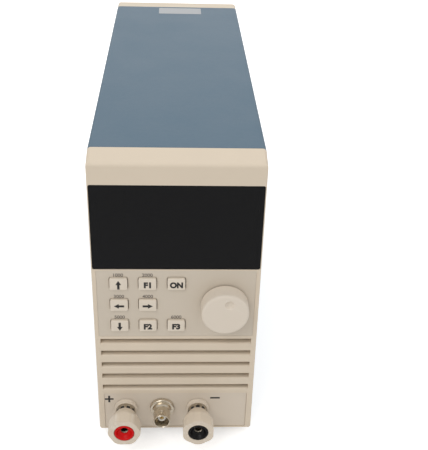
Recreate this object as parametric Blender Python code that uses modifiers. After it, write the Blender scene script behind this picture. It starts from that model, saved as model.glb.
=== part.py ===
"""DC electronic load, a bench instrument, built from separate pieces in metres with +Z up.

The front faces -Y and +X is to its right. The origin lies under the middle of the whole object,
on the surface that the feet stand on.
"""
import math

import bmesh
import bpy
from mathutils import Euler, Matrix, Vector

MM = 0.001

# Facets round a full turn, and steps in a rounded corner or rim
large_segments = 30
medium_segments = 18
small_segments = 16
tiny_segments = 8
corner_steps = 2
rim_steps = 3

# Clearances, the reach of cutters and joined pieces past a face, and the chamfer of turned edges
seat_gap = 0.3 * MM
key_side_gap = 0.35 * MM
panel_side_gap = 0.15 * MM
cut_reach = 1.0 * MM
turned_chamfer = 0.4 * MM

# Case
lip_depth = 13.5 * MM
sleeve_length = 249.0 * MM
rear_bezel_depth = 12.0 * MM
ground_clearance = 6.0 * MM
corner_radius = 2.0 * MM
cover_wall = 1.2 * MM
cover_lip_width = 6.0 * MM
tray_wall = 1.2 * MM
tray_bend = 1.8 * MM
tongue_length = 4.0 * MM
tongue_wall = 1.3 * MM

# Front bezel
lip_drop = 2.6 * MM
side_draft = 0.25 * MM
front_wall = 3.5 * MM
front_edge_radius = 1.8 * MM
front_side_radius = 0.7 * MM
header_height = 11.8 * MM
lip_wall = 2.0 * MM
aperture_ledge = 3.0 * MM
board_boss_radius = 2.0 * MM

# Display window
window_from_side = 1.3 * MM
window_height = 49.7 * MM
window_thickness = 1.5 * MM
window_recess = 0.2 * MM
window_corner = 1.0 * MM

# Keypad overlay
overlay_from_side = 2.7 * MM
overlay_height = 43.2 * MM
overlay_thickness = 0.8 * MM
overlay_recess = 0.1 * MM
overlay_below_window = 1.0 * MM

# Keys
key_width = 9.5 * MM
key_height = 7.3 * MM
key_corner = 1.1 * MM
key_proud = 1.5 * MM
key_pitch_x = 15.35 * MM
key_pitch_z = 13.75 * MM
key_row_from_top = 7.35 * MM
key_from_overlay_side = 6.85 * MM
key_to_knob = 8.4 * MM
key_edge = 0.4 * MM
key_flange = 1.0 * MM
key_travel = 0.9 * MM
key_rest_gap = 0.25 * MM
key_grid = {
    "key_up": (2, 0),
    "key_mode": (1, 0),
    "key_on": (0, 0),
    "key_left": (2, 1),
    "key_right": (1, 1),
    "key_down": (2, 2),
    "key_shift": (1, 2),
    "key_set": (0, 2),
}

# Boards behind the front
board_thickness = 1.6 * MM
board_side_gap = 1.2 * MM
tact_size = 6.0 * MM
tact_body = 3.5 * MM
tact_plunger = 0.8 * MM
tact_plunger_radius = 1.7 * MM
digit_rows = 3
digits_per_row = 5
digit_width = 9.6 * MM
digit_height = 11.5 * MM
digit_pitch_x = 10.6 * MM
digit_pitch_z = 15.0 * MM
digit_left_margin = 7.0 * MM
digit_window_gap = 0.5 * MM
header_length = 20.0 * MM
header_reach = 8.0 * MM
header_lift = 4.0 * MM
header_thickness = 5.0 * MM

# Knob and encoder
knob_radius = 12.85 * MM
knob_from_overlay_side = 3.45 * MM
knob_front_radius = 12.7 * MM
knob_front = 10.2 * MM
knob_wall = 1.6 * MM
knob_face_wall = 2.0 * MM
knob_bore_wall = 1.6 * MM
knob_boss_wall = 1.6 * MM
knob_draft = 0.3 * MM
knob_rim = 1.6 * MM
knob_hover = 0.6 * MM
dimple_radius = 2.5 * MM
dimple_depth = 0.8 * MM
dimple_offset_x = 2.2 * MM
dimple_offset_z = 6.6 * MM
shaft_radius = 3.0 * MM
bush_radius = 4.5 * MM
bush_front = 4.6 * MM
encoder_size = 12.4 * MM
nut_thickness = 2.0 * MM
nut_across = 11.0 * MM

# Air slots
slot_count = 5
slot_opening = 3.2 * MM
slot_pitch = 8.31 * MM
slot_from_side = 3.2 * MM
slot_depth = 7.0 * MM
slot_rise = 2.0 * MM
slot_below_overlay = 2.0 * MM
slot_above_plate = 3.66 * MM

# Terminal plate
plate_from_side = 3.8 * MM
plate_height = 26.0 * MM
plate_bottom = 1.4 * MM
plate_thickness = 1.5 * MM
plate_recess = 0.4 * MM
plate_ledge = 3.0 * MM
terminal_height = 16.5 * MM

# Binding posts
post_from_plate_side = 12.3 * MM
post_to_bayonet = 21.0 * MM
bayonet_to_post = 20.75 * MM
post_turn = {"positive": 0.0, "negative": 30.0}
collar_radius = 6.6 * MM
collar_front_radius = 6.2 * MM
collar_length = 3.5 * MM
stud_radius = 3.0 * MM
stud_shoulder_radius = 5.6 * MM
stud_shoulder = 1.1 * MM
socket_radius = 2.0 * MM
socket_depth = 12.5 * MM
socket_chamfer_width = 0.3 * MM
socket_cone = 1.0 * MM
wire_hole_radius = 1.2 * MM
wire_hole_lift = 0.4 * MM
cap_neck_radius = 6.0 * MM
cap_corner_radius = 9.75 * MM
cap_across = 17.2 * MM
cap_front = 20.6 * MM
cap_flare_start = 1.5 * MM
cap_flare_length = 11.0 * MM
cap_flare_steps = 4
cap_edge = 0.8 * MM
cap_flat_corner = 1.6 * MM
ring_radius = 5.9 * MM
ring_hole_radius = 2.15 * MM
ring_thickness = 2.8 * MM
ring_proud = 0.2 * MM
ring_chamfer = 0.3 * MM
ring_funnel = 0.8 * MM
post_bush_radius = 4.9 * MM
post_bush_length = 9.0 * MM
post_nut_across = 11.0 * MM
bar_width = 10.0 * MM
bar_thickness = 2.0 * MM
bar_bend = 3.0 * MM
bar_behind_face = 13.0 * MM
bar_overlap = 7.0 * MM
bar_to_standoff = 2.0 * MM
bar_foot = 8.0 * MM
stud_tail = 2.6 * MM

# Bayonet socket
bayonet_flange_radius = 7.0 * MM
bayonet_flange = 2.0 * MM
bayonet_radius = 4.81 * MM
bayonet_shoulder = 0.8 * MM
bayonet_shoulder_length = 1.4 * MM
bayonet_front = 11.9 * MM
bayonet_mouth_radius = 4.05 * MM
bayonet_mouth_depth = 8.0 * MM
bayonet_insulator_radius = 2.3 * MM
bayonet_insulator_inset = 3.0 * MM
bayonet_contact_radius = 0.9 * MM
bayonet_contact_inset = 3.0 * MM
bayonet_contact_tail = 3.0 * MM
bayonet_insulator_tail = 0.5 * MM
bayonet_tail = 9.0 * MM
lug_radius = 1.0 * MM
lug_height = 1.0 * MM
lug_behind_mouth = 4.0 * MM
bayonet_nut_across = 13.0 * MM
bayonet_nut_thickness = 2.5 * MM

# Air tunnel and fan
fan_side_gap = 2.3 * MM
fan_depth = 25.0 * MM
fan_wall = 1.8 * MM
fan_flange = 4.0 * MM
fan_flange_corner = 5.0 * MM
fan_screw_inset = 4.25 * MM
fan_screw_hole_radius = 2.2 * MM
fan_hub_radius = 16.0 * MM
fan_hub_height = 14.0 * MM
fan_hub_wall = 1.5 * MM
fan_hub_chamfer = 1.5 * MM
fan_boss_wall = 1.6 * MM
fan_tube_inset = 0.5 * MM
fan_spider_inset = 0.5 * MM
fan_stator_inset = 1.0 * MM
fan_pin_radius = 1.5 * MM
fan_stator = 3.0 * MM
fan_spider_width = 3.0 * MM
fan_blades = 7
fan_tip_gap = 0.9 * MM
blade_thickness = 1.2 * MM
blade_root_pitch = 40.0
blade_tip_pitch = 24.0
blade_chord = 17.0 * MM
blade_sweep = 14.0
blade_middle = 6.7 * MM
blade_rows = 3
blade_columns = 2
guard_wire_radius = 0.9 * MM
guard_wire_sides = 5
guard_rings = 3
guard_ring_stand = 1.8
guard_wire_drops = (0.8, 0.3)
guard_eye_thickness = 1.4 * MM
guard_eye_segments = 10
guard_inner_radius = 13.0 * MM
guard_eye_radius = 3.1 * MM
guard_eye_hole = 1.7 * MM
heat_sink_front = 75.0 * MM
heat_sink_base = 6.0 * MM
heat_sink_to_fan = 1.0 * MM
fin_thickness = 1.6 * MM
fin_pitch = 6.6 * MM

# Boards and transformer over the tunnel
power_board_lift = 8.0 * MM
power_board_front = 78.0 * MM
power_board_from_tray = 4.3 * MM
power_board_to_deck = 1.8 * MM
transistor_width = 16.0 * MM
transistor_length = 20.0 * MM
transistor_thickness = 4.8 * MM
transistor_from_board_side = 18.0 * MM
transistor_rows = 2
transistor_pitch = 36.0 * MM
transistor_first = 22.0 * MM
leg_pitch = 5.4 * MM
leg_width = 1.6 * MM
leg_length = 1.5 * MM
capacitor_count = 3
capacitor_gap = 2.0 * MM
capacitor_radius = 7.5 * MM
capacitor_height = 22.0 * MM
control_board_lift = 36.0 * MM
control_board_front = 62.0 * MM
control_board_inset = 2.0 * MM
processor_size = 16.0 * MM
processor_from_front = 34.0 * MM
memory_width = 10.0 * MM
memory_length = 12.0 * MM
memory_from_side = 10.0 * MM
chip_height = 3.0 * MM
relay_width = 12.0 * MM
relay_length = 22.0 * MM
relay_height = 12.0 * MM
relay_from_side = 8.0 * MM
socket_strip_length = 28.0 * MM
socket_strip_width = 6.0 * MM
socket_strip_height = 10.0 * MM
socket_strip_from_front = 3.0 * MM
standoff_radius = 2.5 * MM
standoff_inset = 5.0 * MM
deck_length = 68.0 * MM
deck_thickness = 1.2 * MM
deck_lift = 3.0 * MM
core_width = 48.0 * MM
core_height = 40.0 * MM
core_stack = 18.0 * MM
core_leg = 8.0 * MM
core_from_deck_front = 28.0 * MM
core_x = -8.0 * MM
core_foot_reach = 7.0 * MM
core_foot_inset = 1.0 * MM
core_foot_thickness = 1.5 * MM
winding_reach = 10.0 * MM
winding_corner = 3.0 * MM

# Rear panel and what it carries
rear_panel_thickness = 1.5 * MM
rear_lip = 2.0 * MM
rear_lip_inset = 2.2 * MM
rear_edge_radius = 1.5 * MM
rear_column_from_side = 25.0 * MM
inlet_above_fan = 28.0 * MM
inlet_corner = 2.0 * MM
socket_corner = 1.0 * MM
inlet_rim = 1.75 * MM
inlet_flange = 2.2 * MM
inlet_side_wall = 1.4 * MM
inlet_top_wall = 3.15 * MM
inlet_foot_wall = 0.95 * MM
inlet_back_wall = 6.6 * MM
inlet_web = 4.6 * MM
socket_width = 24.2 * MM
socket_height = 16.2 * MM
socket_chamfer = 5.0 * MM
socket_inside = 16.0 * MM
blade_spacing = 14.0 * MM
blade_offset = 4.0 * MM
contact_width = 2.0 * MM
contact_height = 4.0 * MM
contact_inset = 2.0 * MM
drawer_width = 22.0 * MM
drawer_height = 7.0 * MM
drawer_length = 19.0 * MM
drawer_proud = 1.2 * MM
drawer_wall = 1.3 * MM
drawer_front_wall = 2.5 * MM
notch_width = 8.0 * MM
notch_height = 1.6 * MM
notch_floor = 0.8 * MM
switch_above_fan = 44.0 * MM
switch_corner = 1.5 * MM
switch_rim = 1.0 * MM
switch_flange_width = 15.0 * MM
switch_flange_height = 21.5 * MM
switch_flange = 2.0 * MM
switch_body_depth = 16.0 * MM
rocker_width = 10.6 * MM
rocker_half_length = 7.0 * MM
rocker_crest = 4.5 * MM
rocker_valley = 3.2 * MM
rocker_pivot_depth = 2.3 * MM
rocker_tilt = 11.0
rocker_end_angle = -20.0
rocker_back = 0.55
rocker_steps = 4
rocker_axle_radius = 1.2 * MM
rocker_axle_reach = 1.0 * MM
switch_wall = 1.6 * MM
serial_above_fan = 16.0 * MM
serial_corner = 1.0 * MM
serial_shell_corner = 2.2 * MM
serial_flange_width = 31.0 * MM
serial_flange_height = 12.5 * MM
serial_flange = 1.0 * MM
serial_shell_width = 17.0 * MM
serial_shell_foot = 14.6 * MM
serial_shell_height = 8.4 * MM
serial_shell = 5.5 * MM
serial_body_depth = 9.0 * MM
serial_body_width = 19.0 * MM
serial_body_height = 10.4 * MM
jack_spacing = 25.0 * MM
jack_radius = 2.6 * MM
jack_length = 4.6 * MM
jack_sides = 6

# Feet
foot_radius = 6.5 * MM
foot_top_radius = 5.4 * MM
foot_from_side = 15.0 * MM
foot_from_end = 30.0 * MM
foot_skirt = 1.0 * MM
foot_chamfer = 0.8 * MM
foot_dish_draft = 0.4 * MM
foot_dish_radius = 3.6 * MM
foot_dish = 2.0 * MM

# Widths, which follow from the keys and the knob side by side on the overlay
key_columns = 1 + max(column for column, row in key_grid.values())
keys_width = (key_columns - 1) * key_pitch_x + key_width
overlay_width = key_from_overlay_side + keys_width + key_to_knob + 2 * knob_radius + knob_from_overlay_side
body_width = overlay_width + 2 * overlay_from_side
window_width = body_width - 2 * window_from_side
plate_width = body_width - 2 * plate_from_side
slot_half_width = body_width / 2 - slot_from_side
key_left = key_from_overlay_side + key_width / 2 - overlay_width / 2
knob_x = overlay_width / 2 - knob_from_overlay_side - knob_radius
positive_x = post_from_plate_side - plate_width / 2
bayonet_x = positive_x + post_to_bayonet
post_x = {"positive": positive_x, "negative": bayonet_x + bayonet_to_post}
foot_x = body_width / 2 - foot_from_side
inlet_x = rear_column_from_side - body_width / 2
switch_x = body_width / 2 - rear_column_from_side
serial_x = switch_x
tongue_half = body_width / 2 - cover_wall - seat_gap
cavity_half = tongue_half - tongue_wall
tray_half = tongue_half
tray_inner_half = tray_half - tray_wall
board_half = cavity_half - board_side_gap
power_board_half_width = tray_inner_half - power_board_from_tray
control_board_half_width = power_board_half_width - control_board_inset
transistor_x = power_board_half_width - transistor_from_board_side

# Heights of the front's panels, measured up from the case's bottom edge
plate_top = plate_bottom + plate_height
slot_top = plate_top + slot_above_plate + (slot_count - 1) * slot_pitch + slot_opening
overlay_bottom = slot_top + slot_below_overlay
overlay_top = overlay_bottom + overlay_height
window_bottom = overlay_top + overlay_below_window
window_top = window_bottom + window_height
body_height = window_top + header_height + lip_drop
knob_height = (overlay_top + overlay_bottom) / 2

# Depths, measured back from the front face
body_depth = lip_depth + sleeve_length + rear_bezel_depth
rear_panel_outer = body_depth - rear_lip - seat_gap
rear_panel_inner = rear_panel_outer - rear_panel_thickness
rear_seat = rear_panel_outer + seat_gap
rocker_radius = math.hypot(rocker_half_length, rocker_crest)
rocker_pivot = rear_seat + switch_flange - rocker_pivot_depth
rocker_lean = math.radians(rocker_tilt)
rocker_tip = rocker_crest * math.cos(rocker_lean) + rocker_half_length * math.sin(rocker_lean)
rocker_reach = rocker_pivot + rocker_tip
switch_body_width = rocker_width + 2 * seat_gap + 2 * switch_wall
switch_body_height = 2 * (rocker_radius + seat_gap + switch_wall)
drawer_well_height = drawer_height + 2 * seat_gap
inlet_body_width = max(socket_width, drawer_width + 2 * seat_gap) + 2 * inlet_side_wall
inlet_body_height = inlet_foot_wall + drawer_well_height + inlet_web + socket_height + inlet_top_wall
inlet_body_depth = max(socket_inside, drawer_length + 2 * seat_gap) - inlet_flange + inlet_back_wall
socket_rise = inlet_body_height / 2 - inlet_top_wall - socket_height / 2
drawer_drop = inlet_body_height / 2 - inlet_foot_wall - drawer_well_height / 2
serial_reach = rear_seat + serial_flange + serial_shell
inlet_reach = rear_seat + inlet_flange + drawer_proud
rear_reach = max(rocker_reach, serial_reach, inlet_reach, body_depth)
front_reach = max(cap_front + ring_proud, bayonet_front, knob_front)
face_y = (front_reach - rear_reach) / 2

# Heights inside the case
tray_floor = cover_wall + seat_gap
tray_top_of_floor = tray_floor + tray_wall
tongue_bottom = cover_wall + seat_gap
cavity_bottom = tongue_bottom + tongue_wall
cavity_top = body_height - lip_drop - lip_wall

# Front stack, measured back from the front face
window_back = window_recess + window_thickness
overlay_back = overlay_recess + overlay_thickness
plate_back = plate_recess + plate_thickness
key_back = front_wall + seat_gap + key_flange
tact_front = key_back + key_travel + key_rest_gap
board_front = tact_front + tact_plunger + tact_body
board_back = board_front + board_thickness

# Air tunnel
fan_size = 2 * (tray_inner_half - fan_side_gap)
fan_bottom = max(tray_top_of_floor, cavity_bottom) + seat_gap
fan_middle = fan_bottom + fan_size / 2
fan_top = fan_bottom + fan_size
fan_bore_radius = fan_size / 2 - fan_wall
fan_rear = rear_panel_inner - seat_gap
fan_front = fan_rear - fan_depth
tunnel_bottom = tray_top_of_floor + seat_gap
tunnel_half_width = fan_size / 2
heat_sink_rear = fan_front - heat_sink_to_fan
power_board_bottom = fan_top + power_board_lift
power_board_top = power_board_bottom + board_thickness
tray_front = lip_depth + tongue_length + seat_gap
tray_rear = body_depth - rear_bezel_depth - tongue_length - seat_gap
tray_height = fan_top + deck_lift
deck_bottom = tray_height + seat_gap
deck_top = deck_bottom + deck_thickness
deck_front = tray_rear - deck_length
power_board_rear = deck_front - power_board_to_deck
control_board_bottom = power_board_top + control_board_lift
control_board_rear = power_board_rear

parts = None
cutters = None


def depth(distance):
    """World Y of a place this far behind the front face."""
    return face_y + distance


def level(height):
    """World Z of a place this far above the case's bottom edge."""
    return ground_clearance + height


# Ways of turning a piece that is drawn flat or upright at first.
FRONT = (math.radians(90), 0.0, 0.0)
SIDE = (math.radians(90), 0.0, math.radians(90))
UP = (0.0, 0.0, 0.0)


def clear_scene():
    for item in list(bpy.data.objects):
        bpy.data.objects.remove(item, do_unlink=True)


def new_collection(name):
    collection = bpy.data.collections.new(name)
    bpy.context.scene.collection.children.link(collection)
    return collection


def new_material(name, colour, roughness, metallic=0.0):
    material = bpy.data.materials.new(name)
    material.use_nodes = True
    shader = material.node_tree.nodes["Principled BSDF"]
    shader.inputs["Base Color"].default_value = (*colour, 1.0)
    shader.inputs["Roughness"].default_value = roughness
    shader.inputs["Metallic"].default_value = metallic
    material.diffuse_color = (*colour, 1.0)
    return material


def place(name, mesh, location, rotation, material):
    """Links a mesh as a sub-part, or as a cutter where it has no material."""
    thing = bpy.data.objects.new(name, mesh)
    thing.location = location
    thing.rotation_euler = rotation
    if material is None:
        cutters.objects.link(thing)
        thing.display_type = "WIRE"
        thing.hide_render = True
    else:
        parts.objects.link(thing)
        mesh.materials.clear()
        mesh.materials.append(material)
    return thing


def block(name, x, y, z, material=None):
    """A box between two values on each axis."""
    return blocks(name, [(x, y, z)], material)


def blocks(name, boxes, material=None):
    """Separate boxes in one mesh, each given as ranges on X, Y and Z."""
    low = Vector(min(box[axis][0] for box in boxes) for axis in range(3))
    high = Vector(max(box[axis][1] for box in boxes) for axis in range(3))
    centre = (low + high) / 2
    bm = bmesh.new()
    for box in boxes:
        made = bmesh.ops.create_cube(bm, size=1.0)["verts"]
        size = Vector(limits[1] - limits[0] for limits in box)
        middle = Vector((limits[1] + limits[0]) / 2 for limits in box)
        bmesh.ops.scale(bm, vec=size, verts=made)
        bmesh.ops.translate(bm, vec=middle - centre, verts=made)
    mesh = bpy.data.meshes.new(name)
    bm.to_mesh(mesh)
    bm.free()
    return place(name, mesh, centre, UP, material)


def rods(name, ends, radius, segments, material=None):
    """Separate straight rods in one mesh, each given by its two end points."""
    centre = Vector(ends[0][0])
    bm = bmesh.new()
    for start, end in ends:
        axis = Vector(end) - Vector(start)
        turn = axis.to_track_quat("Z", "Y").to_matrix()
        made = bmesh.ops.create_cone(
            bm,
            cap_ends=True,
            segments=segments,
            radius1=radius,
            radius2=radius,
            depth=axis.length,
        )["verts"]
        bmesh.ops.rotate(bm, cent=(0, 0, 0), matrix=turn, verts=made)
        bmesh.ops.translate(bm, vec=Vector(start) + axis / 2 - centre, verts=made)
    mesh = bpy.data.meshes.new(name)
    bm.to_mesh(mesh)
    bm.free()
    return place(name, mesh, centre, UP, material)


def turned(name, profile, location, rotation, segments, closed=False, material=None):
    """A turned piece. The profile is (radius, height) and runs down its outer side."""
    bm = bmesh.new()
    points = [bm.verts.new((radius, 0.0, height)) for radius, height in profile]
    for first, second in zip(points, points[1:]):
        bm.edges.new((first, second))
    if closed:
        bm.edges.new((points[-1], points[0]))
    mesh = bpy.data.meshes.new(name)
    bm.to_mesh(mesh)
    bm.free()
    thing = place(name, mesh, location, rotation, material)
    screw = thing.modifiers.new("Turn", "SCREW")
    screw.steps = segments
    screw.render_steps = segments
    screw.use_merge_vertices = True
    screw.merge_threshold = 0.001 * MM
    return thing


def flat_solid(name, outlines, thickness, location, rotation, material=None):
    """A plate from a flat outline, with any further outlines inside it as holes."""
    curve = bpy.data.curves.new(name, "CURVE")
    curve.dimensions = "2D"
    curve.fill_mode = "BOTH"
    curve.extrude = thickness / 2
    for outline in outlines:
        spline = curve.splines.new("POLY")
        spline.points.add(len(outline) - 1)
        spline.use_cyclic_u = True
        for point, (u, v) in zip(spline.points, outline):
            point.co = (u, v, 0.0, 1.0)
    drawn = bpy.data.objects.new(name, curve)
    cutters.objects.link(drawn)
    bpy.context.view_layer.update()
    mesh = bpy.data.meshes.new_from_object(drawn.evaluated_get(bpy.context.evaluated_depsgraph_get()))
    bpy.data.objects.remove(drawn, do_unlink=True)
    mesh.name = name
    bm = bmesh.new()
    bm.from_mesh(mesh)
    bmesh.ops.remove_doubles(bm, verts=bm.verts, dist=0.001 * MM)
    bmesh.ops.recalc_face_normals(bm, faces=bm.faces)
    bm.to_mesh(mesh)
    bm.free()
    return place(name, mesh, location, rotation, material)


def folded_sheet(name, path, length, thickness, location, rotation, material):
    """Sheet metal that follows a path, with the metal on the path's left-hand side."""
    bm = bmesh.new()
    near = [bm.verts.new((u, v, -length / 2)) for u, v in path]
    far = [bm.verts.new((u, v, length / 2)) for u, v in path]
    for index in range(len(path) - 1):
        bm.faces.new((near[index], near[index + 1], far[index + 1], far[index]))
    mesh = bpy.data.meshes.new(name)
    bm.to_mesh(mesh)
    bm.free()
    thing = place(name, mesh, location, rotation, material)
    solidify = thing.modifiers.new("Metal", "SOLIDIFY")
    solidify.thickness = thickness
    solidify.offset = -1.0
    solidify.use_even_offset = True
    return thing


def boolean(target, tool, operation="DIFFERENCE"):
    modifier = target.modifiers.new(tool.name, "BOOLEAN")
    modifier.operation = operation
    modifier.solver = "EXACT"
    modifier.object = tool
    return target


def cut(target, tool):
    return boolean(target, tool)


def join(target, tool):
    return boolean(target, tool, "UNION")


def bevel_edges(bm, edges, width, steps):
    bmesh.ops.bevel(bm, geom=edges, offset=width, segments=steps, profile=0.5, affect="EDGES")


def circle(radius, segments, centre=(0.0, 0.0), start=0.0):
    """Points round a circle, or round the corners of a polygon."""
    points = []
    for index in range(segments):
        angle = math.radians(start) + 2 * math.pi * index / segments
        points.append((centre[0] + radius * math.cos(angle), centre[1] + radius * math.sin(angle)))
    return points


def hexagon(across, start=0.0):
    return circle(across / math.sqrt(3), 6, start=start)


def rounded(points, radius, steps=rim_steps, closed=True):
    """A path with each of its inner corners replaced by an arc."""
    result = []
    count = len(points)
    for index, point in enumerate(points):
        if not closed and index in (0, count - 1):
            result.append(tuple(point))
            continue
        corner = Vector(point)
        back = (Vector(points[index - 1]) - corner).normalized()
        ahead = (Vector(points[(index + 1) % count]) - corner).normalized()
        half = back.angle(ahead) / 2
        centre = corner + (back + ahead).normalized() * radius / math.sin(half)
        start = corner + back * radius / math.tan(half) - centre
        end = corner + ahead * radius / math.tan(half) - centre
        sweep = start.angle(end)
        for step in range(steps + 1):
            share = step / steps
            ray = start * math.sin((1 - share) * sweep) + end * math.sin(share * sweep)
            result.append(tuple(centre + ray / math.sin(sweep)))
    return result


def rectangle(width, height, centre=(0.0, 0.0)):
    half_width = width / 2
    half_height = height / 2
    return [
        (centre[0] - half_width, centre[1] - half_height),
        (centre[0] + half_width, centre[1] - half_height),
        (centre[0] + half_width, centre[1] + half_height),
        (centre[0] - half_width, centre[1] + half_height),
    ]


def quarter_round(centre, radius, steps=rim_steps):
    """Points of a rim that turns from a flat top down into an outer side."""
    points = []
    for step in range(steps + 1):
        angle = math.pi / 2 * (1 - step / steps)
        points.append((centre[0] + radius * math.cos(angle), centre[1] + radius * math.sin(angle)))
    return points


def key_places():
    """Name, X and height of every key."""
    places = []
    for name, (column, row) in key_grid.items():
        height = overlay_top - key_row_from_top - row * key_pitch_z
        places.append((name, key_left + (key_columns - 1 - column) * key_pitch_x, height))
    return places


def make_materials():
    return {
        "cream": new_material("cream_moulding", (0.66, 0.58, 0.46), 0.5),
        "cream_keys": new_material("cream_keys", (0.72, 0.65, 0.53), 0.45),
        "overlay": new_material("overlay_sheet", (0.55, 0.48, 0.38), 0.55),
        "blue": new_material("blue_paint", (0.10, 0.19, 0.28), 0.5),
        "steel": new_material("zinc_steel", (0.55, 0.56, 0.57), 0.35, 0.9),
        "smoked": new_material("smoked_acrylic", (0.012, 0.012, 0.014), 0.15),
        "board": new_material("circuit_board", (0.02, 0.16, 0.07), 0.5),
        "black": new_material("black_plastic", (0.02, 0.02, 0.02), 0.45),
        "nickel": new_material("nickel_plate", (0.62, 0.58, 0.50), 0.25, 1.0),
        "brass": new_material("brass", (0.72, 0.52, 0.22), 0.3, 1.0),
        "copper": new_material("tinned_copper", (0.70, 0.45, 0.30), 0.35, 1.0),
        "white": new_material("white_insulator", (0.80, 0.79, 0.75), 0.4),
        "red": new_material("red_plastic", (0.55, 0.02, 0.02), 0.35),
        "aluminium": new_material("extruded_aluminium", (0.62, 0.63, 0.65), 0.4, 0.9),
        "rubber": new_material("black_rubber", (0.03, 0.03, 0.03), 0.8),
        "winding": new_material("winding_tape", (0.60, 0.45, 0.08), 0.5),
        "core": new_material("core_laminations", (0.12, 0.11, 0.10), 0.5, 0.6),
    }


def make_top_cover(material):
    """Blue sleeve: an inverted U in sheet steel with two lips turned in underneath."""
    half = body_width / 2
    lip_end = half - cover_lip_width
    right = [(lip_end, 0.0), (half, 0.0), (half, body_height)]
    left = [(-u, v) for u, v in reversed(right)]
    path = rounded(right + left, corner_radius, closed=False)
    front = lip_depth + seat_gap
    rear = lip_depth + sleeve_length - seat_gap
    place_at = (0.0, depth((front + rear) / 2), level(0.0))
    folded_sheet("top_cover", path, rear - front, cover_wall, place_at, FRONT, material)


def make_chassis_tray(material):
    """Steel U that carries the tunnel, with side walls as high as the deck plate."""
    left = [(-tray_half, tray_height), (-tray_half, tray_floor)]
    right = [(-u, v) for u, v in reversed(left)]
    path = rounded(left + right, tray_bend, corner_steps, closed=False)
    middle = depth((tray_front + tray_rear) / 2)
    length = tray_rear - tray_front
    folded_sheet("chassis_tray", path, length, tray_wall, (0.0, middle, level(0.0)), FRONT, material)


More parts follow.
